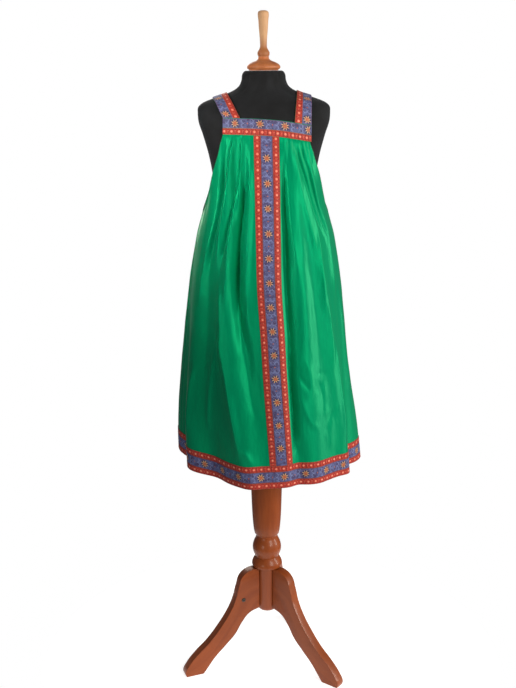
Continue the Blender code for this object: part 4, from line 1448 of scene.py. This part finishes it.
@dataclass
class GatheredPanels:
    """Front and back panels of the skirt, gathered into the bands and sewn together at the sides."""

    surface: GarmentSurface
    looks: Looks
    wall: float = 0.0008
    columns: int = 260
    rows: int = 168
    crowding: float = 0.35  # how much closer the rows lie near the bands
    seam: float = 0.0001
    cloth_reach: float = 0.145  # metres; turns an angle into a place in the cloth
    crisp: float = 55  # degrees

    def grid(self, start: float, end: float) -> tuple[Array, Array]:
        """Lays out one panel.

        Args:
            start: angle of its first side.
            end: of its other side.

        Returns:
            Its points and their places in the cloth.
        """
        angle = np.linspace(start, end, self.columns + 1)[None, :]
        share = np.linspace(0, 1, self.rows + 1)[:, None]
        share = share - self.crowding * np.sin(np.pi * share) / np.pi * (1 - share)
        turned = turn_between(angle, 0)
        top = self.surface.top_edge(turned) - SEAM_GAP
        height = top + (self.surface.hem(turned) - top) * share
        points = self.surface.points(turned + 0 * share, height)
        return points, joined(np.radians(angle) * self.cloth_reach, height)

    def build(self) -> list[Piece]:
        """Makes both panels."""
        made = []
        edge = math.degrees(self.seam / 2 / self.cloth_reach)
        for side, start, end in (("front", -SIDE_SEAM, SIDE_SEAM), ("back", SIDE_SEAM, 360 - SIDE_SEAM)):
            points, spots = self.grid(start + edge, end - edge)
            builder = MeshBuilder()
            builder.add_shell(points, on_axis(points), -self.wall, 0, spots)
            item = builder.build("gathered_" + side, [self.looks.satin], self.crisp)
            made.append(hang(item, "satin", "skirt_" + side))
        return made


@dataclass
class TrimSet:
    """Ribbon between two braids: down the middle of the front, round the hem and along the front band."""

    surface: GarmentSurface
    looks: Looks
    centre_length: float = 0.72
    row_length: float = 0.003

    def lay(self, run: str, spans: Iterable[tuple[str, TrimKind, float, float]], count: int,
            spread: Callable[[Array], Array], first_star: float) -> list[Piece]:
        """Makes the trims of one run, side by side.

        Args:
            run: first word of their names.
            spans: rest of each name, kind, start and end.
            count: points across each.
            spread: gives points for places across the run.
            first_star: metres to the first star.

        Returns:
            The trims.
        """
        made = []
        for part, kind, low, high in spans:
            points = spread(np.linspace(low + TRIM_EDGE, high - TRIM_EDGE, count)[None, :])
            bed = Strip(points, on_axis(points), closed=run == "hem")
            made.append(sew_trim(f"{run}_{part}", kind, bed, first_star, self.looks))
        return made

    def centre(self) -> list[Piece]:
        """Makes the ribbon and braids down the front."""
        surface, half, outer = self.surface, RIBBON_WIDTH / 2, TRIM_WIDTH / 2
        share = np.linspace(0, 1, int(self.centre_length / self.row_length) + 1)[:, None]

        def spread(offset: Array) -> Array:
            """Points down the front, some way beside its middle."""
            guide = np.degrees(np.arcsin(offset / MID_REACH))
            top = surface.top_edge(guide) - SEAM_GAP - TRIM_EDGE
            height = top + (surface.hem(guide) + TRIM_WIDTH + TRIM_EDGE - top) * share
            return surface.points(np.degrees(np.arcsin(offset / surface.skirt["half_width"](height))), height)

        return self.lay("centre", (("braid_right", TrimKind.BRAID, -outer, -half),
                                   ("ribbon", TrimKind.RIBBON, -half, half),
                                   ("braid_left", TrimKind.BRAID, half, outer)), 13, spread, -0.007)

    def hem(self) -> list[Piece]:
        """Makes the ribbon and braids round the hem."""
        angle, upper = np.linspace(-180, 180, 361)[:-1, None], BRAID_WIDTH + RIBBON_WIDTH
        return self.lay("hem", (("braid_lower", TrimKind.BRAID, 0, BRAID_WIDTH),
                                ("ribbon", TrimKind.RIBBON, BRAID_WIDTH, upper),
                                ("braid_upper", TrimKind.BRAID, upper, TRIM_WIDTH)), 9,
                        lambda rise: self.surface.points(angle, self.surface.hem(angle) + rise), 0.003)

    def band(self) -> list[Piece]:
        """Makes the ribbon and braid along the front band."""
        angle = np.linspace(BAND_END_RIGHT + 0.1, BAND_END_LEFT - 0.1, 81)[:, None]
        return self.lay("band", (("braid", TrimKind.BRAID, 0, BAND_BRAID),
                                 ("ribbon", TrimKind.RIBBON, BAND_BRAID, BAND_BRAID + BAND_RIBBON)), 9,
                        lambda rise: self.surface.band_points(angle, rise), 0.0267)


@dataclass
class Bands:
    """The two satin bands that the gathers are sewn to."""

    surface: GarmentSurface
    looks: Looks
    columns: int = 96
    rows: int = 14
    cloth_reach: float = 0.12

    def build(self) -> list[Piece]:
        """Makes both bands."""
        made = []
        rise = np.linspace(0, BAND_HEIGHT, self.rows + 1)[None, :]
        for side, start, end in (("front", BAND_END_RIGHT, BAND_END_LEFT),
                                 ("back", 180 - BACK_BAND_END, 180 + BACK_BAND_END)):
            angle = np.linspace(start, end, self.columns + 1)[:, None]
            points = self.surface.band_points(turn_between(angle, 0), rise)
            spots = joined(rise, np.radians(angle) * self.cloth_reach)
            builder = MeshBuilder()
            builder.add_shell(points, on_axis(points), -BAND_WALL, 0, spots)
            made.append(hang(builder.build(side + "_band", [self.looks.satin]), "satin", "band_" + side))
        return made


@dataclass
class Straps:
    """Shoulder straps of satin with a ribbon on the outer part and a braid on the inner."""

    surface: GarmentSurface
    form: FormShape
    looks: Looks
    stations: int = 120
    columns: int = 16
    trim_columns: int = 8
    first_star: float = 0.01

    def line(self, share: float, edges: tuple[StrapEdge, StrapEdge]) -> Array:
        """One lengthwise line, from the front band to the back.

        Args:
            share: its place between the edges.
            edges: the strap's edges.

        Returns:
            Its points.
        """
        front_angle, shoulder_x, back_angle = (a + (b - a) * share for a, b in zip(*edges))
        ends = []
        for angle in (front_angle, back_angle):
            x, y, z = self.surface.band_points(angle, BAND_HEIGHT + SEAM_GAP) - AXIS_FOOT
            swing = math.atan2(z - STRAP_SWING_HEIGHT, -y)
            reach = math.hypot(y, z - STRAP_SWING_HEIGHT)
            ends.append((x, swing, reach - self.form.reach(x, swing) - STRAP_REST))
        (front_x, front_swing, front_lift), (back_x, back_swing, back_lift) = ends
        points = []
        for along in np.linspace(0, 1, self.stations + 1):
            swing = front_swing + (back_swing - front_swing) * along
            over = math.sin(math.pi * along)
            x = (front_x + (back_x - front_x) * along) * (1 - over) + shoulder_x * over
            lift = STRAP_REST + front_lift * (1 - along) ** 3 + back_lift * along ** 3
            reach = self.form.reach(x, swing) + lift
            points.append((x, -reach * math.cos(swing), STRAP_SWING_HEIGHT + reach * math.sin(swing)))
        return np.array(points) + AXIS_FOOT

    def build(self) -> list[Piece]:
        """Makes each strap and its trims."""
        made, split = [], STRAP_RIBBON_SHARE
        for side, edges in STRAP_EDGES.items():
            sheet = np.stack([self.line(share, edges) for share in np.linspace(0, 1, self.columns + 1)], axis=1)
            middle = np.array([sheet[:, self.columns // 2, 0].mean(), AXIS[1], STRAP_SWING_HEIGHT])
            inside = np.broadcast_to(middle, sheet.shape)
            bed = Strip(sheet, inside)
            builder = MeshBuilder()
            builder.add_shell(sheet, inside, -BAND_WALL, 0, bed.spots()[..., ::-1])
            made.append(hang(builder.build(f"{side}_strap", [self.looks.satin]), "satin", f"strap_{side}"))
            outer, inner = ((0, split), (split, 1)) if side == "right" else ((1 - split, 1), (0, 1 - split))
            for kind, (low, high) in ((TrimKind.RIBBON, outer), (TrimKind.BRAID, inner)):
                across = (np.linspace(low, high, self.trim_columns + 1) - 0.5) * bed.width
                across[[0, -1]] += (TRIM_EDGE, -TRIM_EDGE)
                points = bed.place(*np.broadcast_arrays(bed.runs[:, None], across[None, :]), 0)
                strip = Strip(points, inside[:, :self.trim_columns + 1])
                made.append(sew_trim(f"strap_{kind.value}_{side}", kind, strip, self.first_star, self.looks))
        return made


# ---- sewing
def sewn_run_tree(thread: Piece, material: Material) -> bpy.types.NodeTree:
    """Geometry Nodes that lay stitches along lines.

    Args:
        thread: one stitch, a metre long along Z.
        material: the thread's.

    Returns:
        The tree, with inputs Pitch, Stitch Length, Thickness and Seed.
    """
    tree = bpy.data.node_groups.new("SewnRun", "GeometryNodeTree")
    for name, kind in (("Geometry", "Geometry"), ("Pitch", "Float"), ("Stitch Length", "Float"),
                       ("Thickness", "Float"), ("Seed", "Int")):
        tree.interface.new_socket(name, in_out="INPUT", socket_type="NodeSocket" + kind)
    tree.interface.new_socket("Geometry", in_out="OUTPUT", socket_type="NodeSocketGeometry")
    run = NodeSheet(tree)
    given = run.add("NodeGroupInput").outputs
    lines = run.add("GeometryNodeMeshToCurve", {"Mesh": given["Geometry"]})
    stops = run.add("GeometryNodeResampleCurve", {"Curve": lines, "Length": given["Pitch"]}, mode="LENGTH")
    stitch = run.add("GeometryNodeObjectInfo", {"Object": thread})
    turn = run.add("FunctionNodeAlignRotationToVector", {"Vector": run.add("GeometryNodeInputTangent")}, axis="Z")
    uneven = run.add("FunctionNodeRandomValue", {2: 0.85, 3: 1.1, "Seed": given["Seed"]})
    length = run.add("Math", {0: given["Stitch Length"], 1: uneven.outputs[1]}, operation="MULTIPLY")
    size = run.add("CombineXYZ", {0: given["Thickness"], 1: given["Thickness"], 2: length})
    placed = run.add("GeometryNodeInstanceOnPoints", {"Points": stops, "Instance": stitch.outputs["Geometry"],
                                                      "Rotation": turn, "Scale": size})
    real = run.add("GeometryNodeRealizeInstances", {"Geometry": placed})
    dressed = run.add("GeometryNodeSetMaterial", {"Geometry": real, "Material": material})
    smooth = run.add("GeometryNodeSetShadeSmooth", {"Geometry": dressed})
    run.add("NodeGroupOutput", {"Geometry": smooth})
    return tree


def stitch_object(sides: int = 5) -> Piece:
    """One stitch: a capsule, to be scaled to the thread.

    Args:
        sides: faces round it.

    Returns:
        The linked object.
    """
    body = bmesh.new()
    turns = np.linspace(0, 2 * math.pi, sides, endpoint=False)
    rings = [[body.verts.new((radius * math.cos(t), radius * math.sin(t), height)) for t in turns]
             for height, radius in ((-0.5, 0.22), (-0.34, 0.48), (0.34, 0.48), (0.5, 0.22))]
    for low, high in zip(rings, rings[1:]):
        for k in range(sides):
            body.faces.new((low[k], low[(k + 1) % sides], high[(k + 1) % sides], high[k]))
    body.faces.new(rings[0][::-1])
    body.faces.new(rings[-1])
    mesh = bpy.data.meshes.new("stitch")
    body.to_mesh(mesh)
    body.free()
    return link("stitch", mesh)


@dataclass
class Sewing:
    """Rows of machine stitches: red along the trims, green along the turned satin edges."""

    surface: GarmentSurface
    straps: Straps
    looks: Looks
    pitch: float = 0.0032
    length: float = 0.0026
    thickness: float = 0.00055
    inset: float = 0.0011
    trim_lift: float = 0.00095
    satin_lift: float = 0.00015
    edge_inset: float = 0.0035  # from a turned satin edge
    seam_space: float = 0.2  # degrees left free beside a side seam
    band_space: float = 1  # degrees left free at the band's ends
    strap_shares: tuple[float, float] = (0.03, 0.97)
    seed: int = 11

    def raised(self, line: Array, lift: float) -> Array:
        """A line on the garment, moved off the cloth."""
        return line + np.pad(unit(line[:, :2] - AXIS), ((0, 0), (0, 1))) * lift

    def edge_lines(self) -> list[Array]:
        """Lines along the armholes."""
        lines, space = [], self.seam_space
        for low, high in ((BAND_END_LEFT, SIDE_SEAM - space), (SIDE_SEAM + space, 180 - BACK_BAND_END),
                          (BAND_END_RIGHT, space - SIDE_SEAM), (-SIDE_SEAM - space, BACK_BAND_END - 180)):
            angle = np.linspace(low, high, 120)
            lines.append(self.raised(self.surface.points(angle, self.surface.top_edge(angle) - self.edge_inset),
                                     self.satin_lift))
        return lines

    def trim_lines(self) -> list[Array]:
        """Lines along the trims on the skirt, the band and the straps."""
        lines, surface, inset = [], self.surface, self.inset
        for offset in (TRIM_WIDTH / 2 - inset, RIBBON_WIDTH / 2 + inset):
            for side in (-offset, offset):
                guide = math.degrees(math.asin(side / MID_REACH))
                height = np.linspace(surface.top_edge(guide) - 0.002, surface.hem(guide) + TRIM_WIDTH, 240)
                lines.append(surface.points(np.degrees(np.arcsin(side / surface.skirt["half_width"](height))), height))
        around = np.linspace(-180, 180, 721)
        for rise in (inset, BRAID_WIDTH - inset, TRIM_WIDTH - BRAID_WIDTH + inset, TRIM_WIDTH - inset):
            lines.append(surface.points(around, surface.hem(around) + rise))
        across = np.linspace(BAND_END_RIGHT + self.band_space, BAND_END_LEFT - self.band_space, 80)
        for rise in (inset, BAND_BRAID - inset, BAND_BRAID + BAND_RIBBON - inset):
            lines.append(surface.band_points(across, rise))
        lines = [self.raised(line, self.trim_lift) for line in lines]
        over = np.array([0, AXIS[1], STRAP_SWING_HEIGHT])
        for edges in STRAP_EDGES.values():
            for share in self.strap_shares:
                line = self.straps.line(share, edges)
                lines.append(line + unit((line - over) * (0, 1, 1)) * self.trim_lift)
        return lines

    def sew(self, name: str, lines: list[Array], material: Material, slot: str) -> Piece:
        """Makes the stitches along some lines.

        Args:
            name: the piece's name.
            lines: points of each.
            material: the thread's.
            slot: the frame's slot.

        Returns:
            The finished piece.
        """
        starts = np.cumsum([0] + [len(line) for line in lines[:-1]])
        edges = [(first + k, first + k + 1) for first, line in zip(starts, lines) for k in range(len(line) - 1)]
        mesh = bpy.data.meshes.new(name)
        mesh.from_pydata(np.concatenate(lines).tolist(), edges, [])
        item, thread = link(name, mesh), stitch_object()
        modifier = item.modifiers.new("sewn", "NODES")
        modifier.node_group = sewn_run_tree(thread, material)
        values = {"Pitch": self.pitch, "Stitch Length": self.length, "Thickness": self.thickness, "Seed": self.seed}
        for socket in modifier.node_group.interface.items_tree:
            if socket.name in values:
                modifier[socket.identifier] = values[socket.name]
        made = plain_mesh(item)
        bpy.data.objects.remove(thread, do_unlink=True)
        return hang(made, slot)

    def build(self) -> list[Piece]:
        """Makes both sorts of stitches."""
        return [self.sew("trim_stitching", self.trim_lines(), self.looks.red_thread, "braid"),
                self.sew("edge_stitching", self.edge_lines(), self.looks.green_thread, "satin")]


# ---- the dress form and its stand
@dataclass
class DressForm:
    """The padded torso, covered in jersey that is seamed down the front, the sides and between."""

    shape: FormShape
    looks: Looks
    steps: int = 192
    rows: int = 150
    seam_angles: tuple[float, ...] = (0, 41, 90, 139, 180, -139, -90, -41)
    seam_depth: float = 0.0006
    seam_width: float = 0.0012
    edge: float = 0.0035
    cloth_reach: float = 0.11
    crisp: float = 50  # degrees

    def build(self) -> Piece:
        """Makes the form."""
        low, high = FORM_ROWS[0].height, FORM_ROWS[-1].height
        heights = np.concatenate([np.linspace(low, high - self.edge, self.rows), high - self.edge
                                  + self.edge * np.sin(np.linspace(0.2, 1, 6) * math.pi / 2)])
        angle = np.linspace(0, 2 * math.pi, self.steps + 1)[None, :]
        rows = {name: curve(heights)[:, None] for name, curve in self.shape.rows.items()}
        x, y, nx, ny = section(angle, rows["half_width"], rows["front"], rows["back"], rows["power"])
        sunk = np.zeros(x.shape)
        for seam in self.seam_angles:
            offset = np.radians(turn_between(np.degrees(angle), seam)) * rows["half_width"]
            sunk -= self.seam_depth * np.exp(-(offset / self.seam_width) ** 2)
        over = np.clip((heights - (high - self.edge)) / self.edge, 0, 1)[:, None]
        sunk -= self.edge * (1 - np.sqrt(1 - over ** 2))
        height = np.broadcast_to(heights[:, None], x.shape)
        points = joined(AXIS[0] + x + nx * sunk, AXIS[1] + y + ny * sunk, height)
        builder = MeshBuilder()
        builder.add_loft(points[:, :-1], joined(angle * self.cloth_reach, height))
        return hang(builder.build("padded_torso", [self.looks.jersey], self.crisp), "form_jersey", "form_torso")


def catmull(points: Array, between: int) -> Array:
    """Points of a centripetal spline.

    Args:
        points: those to pass through.
        between: steps from each to the next.

    Returns:
        The finer run of points.
    """
    padded = np.vstack([2 * points[0] - points[1], points, 2 * points[-1] - points[-2]])
    made = []
    for run in zip(padded, padded[1:], padded[2:], padded[3:]):
        knots = np.cumsum([0] + [max(float(np.linalg.norm(q - p)), 1e-6) ** 0.5 for p, q in zip(run, run[1:])])
        for t in np.linspace(knots[1], knots[2], between, endpoint=False):
            level = list(run)
            for order in (1, 2, 3):
                for k in range(4 - order):
                    start, end = (knots[1], knots[2]) if order == 3 else (knots[k], knots[k + order])
                    level[k] = (level[k] * (end - t) + level[k + 1] * (t - start)) / (end - start)
            made.append(level[0])
    made.append(points[-1])
    return np.array(made)


def ease_corners(points: Sequence[tuple[float, float]], size: float) -> list[tuple[float, float]]:
    """Cuts an outline's sharp corners to three short faces.

    Args:
        points: the outline.
        size: how far each cut runs back.

    Returns:
        The eased outline.
    """
    made = [points[0]]
    for spots in zip(points, points[1:], points[2:]):
        before, corner, after = map(Vector, spots)
        back, on = before - corner, after - corner
        if min(back.length, on.length) < 1e-7:
            continue
        if back.angle(on) > math.radians(150) or min(back.length, on.length) < 2.2 * size:
            made.append(spots[1])
            continue
        start, end = corner + back.normalized() * size, corner + on.normalized() * size
        made += [tuple(start.lerp(corner, t).lerp(corner.lerp(end, t), t)) for t in (0, 0.33, 0.67, 1)]
    return [*made, points[-1]]


@dataclass
class TurnedPiece:
    """A piece of wood turned about the stand's axis."""

    name: str
    node: str
    rows: tuple[TurnRow, ...]
    material: Material
    slot: str = "stand_wood"
    steps: int = 96
    between: int = 7
    ease: float = 0.0006
    pole: float = 0.0002  # radius of the little face that closes an end
    grain_reach: float = 0.03
    crisp: float = 38  # degrees

    def outline(self) -> list[tuple[float, float]]:
        """Curves the outline between the crisp rows, and eases it at them."""
        rows = self.rows[::-1]
        points, breaks = [], [0, *(k for k in range(1, len(rows) - 1) if rows[k].sharp), len(rows) - 1]
        for first, last in zip(breaks, breaks[1:]):
            run = np.array([(row.radius, row.height) for row in rows[first:last + 1]])
            points += map(tuple, (catmull(run, self.between) if len(run) > 2 else run)[:-1])
        points.append((rows[-1].radius, rows[-1].height))
        return ease_corners([(max(radius, self.pole), height) for radius, height in points], self.ease)

    def build(self) -> Piece:
        """Makes the piece."""
        radius, height = (column[:, None] for column in np.array(self.outline()).T)
        turn = np.linspace(0, 2 * math.pi, self.steps + 1)[None, :]
        points = joined(AXIS[0] + radius * np.cos(turn), AXIS[1] + radius * np.sin(turn), height)
        builder = MeshBuilder()
        builder.add_loft(points[:, :-1], joined(turn * self.grain_reach, height))
        return hang(builder.build(self.name, [self.material], self.crisp), self.slot, self.node)


@dataclass
class TripodLeg:
    """A curved board leg with eased edges, let into the column."""

    name: str
    turn: float
    material: Material
    thickness: float = 0.022
    ease: float = 0.003
    crisp: float = 35  # degrees
    grain_steps: int = 60

    def board(self) -> Piece:
        """Cuts the leg from a flat board and eases its edges."""
        curve = bpy.data.curves.new(self.name, "CURVE")
        curve.dimensions, curve.fill_mode = "2D", "BOTH"
        curve.extrude, curve.resolution_u = self.thickness / 2, 12
        spline = curve.splines.new("BEZIER")
        spline.bezier_points.add(len(LEG_POINTS) - 1)
        for point, row in zip(spline.bezier_points, LEG_POINTS):
            point.co = (row.reach, row.height, 0)
            point.handle_left_type = point.handle_right_type = "VECTOR" if row.corner else "AUTO"
        spline.use_cyclic_u = True
        item = plain_mesh(link("shaped_" + self.name, curve))
        item.modifiers.new("weld", "WELD").merge_threshold = 0.00001
        bevel = item.modifiers.new("edges", "BEVEL")
        bevel.width, bevel.segments = self.ease, 4
        bevel.limit_method, bevel.angle_limit = "ANGLE", math.radians(60)
        return plain_mesh(item)

    def grain(self, flat: Array) -> Array:
        """Grain that follows the leg's bend.

        Args:
            flat: points of the leg as it lies flat.

        Returns:
            Across, through and along the grain.
        """
        half = len(LEG_POINTS) // 2
        upper, lower = (np.array([(row.reach, row.height) for row in rows])
                        for rows in (LEG_POINTS[:half], LEG_POINTS[half:][::-1]))
        shares, places = np.linspace(0, 1, self.grain_steps), np.linspace(0, 1, half)
        centre = np.stack([(np.interp(shares, places, upper[:, k]) + np.interp(shares, places, lower[:, k])) / 2
                           for k in (0, 1)], axis=-1)
        nearest = np.argmin(np.linalg.norm(flat[:, None, :2] - centre[None], axis=2), axis=1)
        offset = flat[:, :2] - centre[nearest]
        ahead = unit(np.gradient(centre, axis=0)[nearest])
        along = run_lengths(centre)[nearest] + (offset * ahead).sum(axis=1)
        across = offset[:, 1] * ahead[:, 0] - offset[:, 0] * ahead[:, 1]
        return joined(across, flat[:, 2] + self.turn, along)

    def build(self) -> Piece:
        """Makes the leg, with its grain laid along it."""
        item = self.board()
        mesh = item.data
        flat = np.empty(len(mesh.vertices) * 3, np.float32)
        mesh.vertices.foreach_get("co", flat)
        grain = mesh.attributes.new(GRAIN_LAYER, "FLOAT_VECTOR", "POINT")
        grain.data.foreach_set("vector", self.grain(flat.reshape(-1, 3)).astype(np.float32).ravel())
        upright = Matrix.Translation(AXIS_FOOT) @ Matrix.Rotation(math.radians(self.turn), 4, "Z")
        mesh.transform(upright @ Matrix.Rotation(math.pi / 2, 4, "X"))
        mesh.materials.clear()
        mesh.materials.append(self.material)
        mesh.shade_smooth()
        mesh.set_sharp_from_angle(angle=math.radians(self.crisp))
        return hang(item, "stand_wood", self.name)


@dataclass
class LegScrew:
    """Steel screw that holds a leg to the column, driven in from the leg's side."""

    material: Material
    leg: str = "leg_right"
    reach: float = 0.0647
    height: float = 0.1711
    face: float = 0.011  # half the leg's thickness
    profile: tuple[tuple[float, float], ...] = ((0.0046, -0.0004), (0.005, 0.0002), (0.0046, 0.0009),
                                                (0.0032, 0.0013), (0.0022, 0.0014), (0.0018, 0.0002))
    steps: int = 32

    def build(self) -> Piece:
        """Makes the screw's head, with its socket."""
        c, s = math.cos(math.radians(LEG_TURNS[self.leg])), math.sin(math.radians(LEG_TURNS[self.leg]))
        ahead, aside = np.array([c, s, 0]), np.array([-s, c, 0])
        middle = np.array([*AXIS, self.height]) + ahead * self.reach + aside * self.face
        around = np.linspace(0, 2 * math.pi, self.steps + 1)
        circle = np.cos(around[:-1, None]) * -ahead + np.sin(around[:-1, None]) * (0, 0, 1)
        rings = np.stack([middle + circle * radius + aside * lift for radius, lift in self.profile])
        spots = np.stack([np.stack([around * radius, 0 * around + lift], axis=-1) for radius, lift in self.profile])
        builder = MeshBuilder()
        builder.add_loft(rings, spots)
        return hang(builder.build("leg_screw", [self.material]), "stand_wood")


@dataclass
class Stand:
    """Turned column and cap with three curved legs."""

    looks: Looks

    def build(self) -> list[Piece]:
        """Makes every piece of the stand."""
        looks = self.looks
        pieces = [TurnedPiece("turned_handle", "cap_handle", HANDLE_ROWS, looks.pale_wood, "handle_wood"),
                  TurnedPiece("turned_cap", "neck_cap", CAP_ROWS, looks.cap_wood),
                  TurnedPiece("turned_pole", "pole", POLE_ROWS, looks.turned_wood),
                  TurnedPiece("turned_column", "column", COLUMN_ROWS, looks.turned_wood),
                  *(TripodLeg(name, turn, looks.leg_wood) for name, turn in LEG_TURNS.items()), LegScrew(looks.steel)]
        return [piece.build() for piece in pieces]


# ---- studio
class Softbox(NamedTuple):
    """A soft rectangular light: name, middle, width and height, watts, the spot it faces, and its grid's spread."""

    name: str
    place: tuple[float, float, float]
    size: tuple[float, float]
    power: float
    aim: tuple[float, float, float] = (0, 0, 0.95)
    spread: float = 180


SOFTBOXES = (
    Softbox("softbox_key", (1.95, -2.55, 1.8), (1.3, 2), 84),
    Softbox("softbox_right", (2.7, -0.3, 1.2), (0.5, 2), 50),
    Softbox("softbox_low", (-1.6, -2.6, 0.5), (0.8, 0.8), 11, (0, 0, 0.3)),
    Softbox("softbox_back", (-0.9, 2.9, 1.7), (1.4, 1.8), 34),
    Softbox("softbox_left", (-2.4, -1.8, 1.6), (0.3, 0.3), 0.88, (-0.16, -0.1, 1.24), 17),
)


@dataclass
class Studio:
    """White floor, soft light and the camera."""

    looks: Looks
    eye: tuple[float, float, float] = (AXIS[0] - 0.0169, AXIS[1] - 2.2822, 1.38)
    pitch: float = 14.54  # degrees down
    roll: float = 0.502  # degrees
    lens: float = 54.8  # millimetres
    lamp_tint: tuple[float, float, float] = (1, 0.965, 0.87)
    room_tint: str = "#E4F2FF"
    room_glow: float = 0.138
    floor_rings: tuple[float, ...] = (0.0002, 0.2, 0.4, 0.55)
    floor_steps: int = 64

    def floor(self) -> None:
        """Lays a round floor."""
        rings, steps = np.array(self.floor_rings), self.floor_steps
        turn = np.linspace(0, 2 * math.pi, steps + 1)[:-1]
        builder = MeshBuilder()
        first = builder.add_points(joined(rings[:, None] * np.cos(turn), rings[:, None] * np.sin(turn), 0))
        i, k = np.meshgrid(np.arange(len(rings) - 1) * steps, np.arange(steps), indexing="ij")
        after = (k + 1) % steps
        quads = joined(i + k, i + steps + k, i + steps + after, i + after)
        builder.add_faces(first + quads, np.zeros((*quads.shape, 2)), 0)
        builder.build("studio_floor", [self.looks.table])

    def lamps(self) -> None:
        """Hangs the soft lights, and gives the room its pale walls."""
        for box in SOFTBOXES:
            lamp = bpy.data.lights.new(box.name, "AREA")
            lamp.shape, lamp.energy, lamp.color = "RECTANGLE", box.power, self.lamp_tint
            lamp.size, lamp.size_y = box.size
            lamp.spread = math.radians(box.spread)
            item = link(box.name, lamp)
            item.location = box.place
            item.rotation_euler = (Vector(box.place) - Vector(box.aim)).to_track_quat("Z", "Y").to_euler()
        world = bpy.data.worlds.new("studio_white")
        world.use_nodes = True
        air = NodeSheet(world.node_tree)
        room = air.add("Background", {"Color": linear(self.room_tint), "Strength": self.room_glow})
        paper = air.add("Background", {"Color": linear("#FFFFFF"), "Strength": 1})
        seen = air.add("LightPath").outputs["Is Camera Ray"]
        air.add("OutputWorld", {"Surface": air.add("MixShader", {0: seen, 1: room, 2: paper})})
        bpy.context.scene.world = world

    def build(self) -> None:
        """Makes the floor, the lights and the camera."""
        self.floor()
        self.lamps()
        lens = bpy.data.cameras.new("camera")
        lens.lens, lens.sensor_width = self.lens, 36
        camera = link("camera", lens)
        camera.matrix_world = (Matrix.Translation(self.eye) @ Matrix.Rotation(math.radians(90 - self.pitch), 4, "X")
                               @ Matrix.Rotation(math.radians(-self.roll), 4, "Z"))
        bpy.context.scene.camera = camera
        bpy.context.scene.view_settings.view_transform = "Standard"


def main() -> None:
    """Builds every sub-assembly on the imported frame, and reports each piece."""
    logging.basicConfig(level=logging.INFO, format="%(message)s")
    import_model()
    looks = Looks()
    surface, shape = GarmentSurface(), FormShape()
    front, back = GatheredPanels(surface, looks).build()
    trims = TrimSet(surface, looks)
    centre, hem, band = trims.centre(), trims.hem(), trims.band()
    bands = Bands(surface, looks).build()
    straps = Straps(surface, shape, looks)
    strap_pieces = straps.build()
    sewing = Sewing(surface, straps, looks).build()
    torso = DressForm(shape, looks).build()
    stand = Stand(looks).build()
    Studio(looks).build()
    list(centre)
    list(hem)
    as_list(band)
    for item in (front, back, *centre, *hem, *band, *bands, *strap_pieces, *sewing, torso, *stand):
        LOG.info("%s: %d faces", item.name, len(item.data.polygons))


if __name__ == "__main__":
    main()
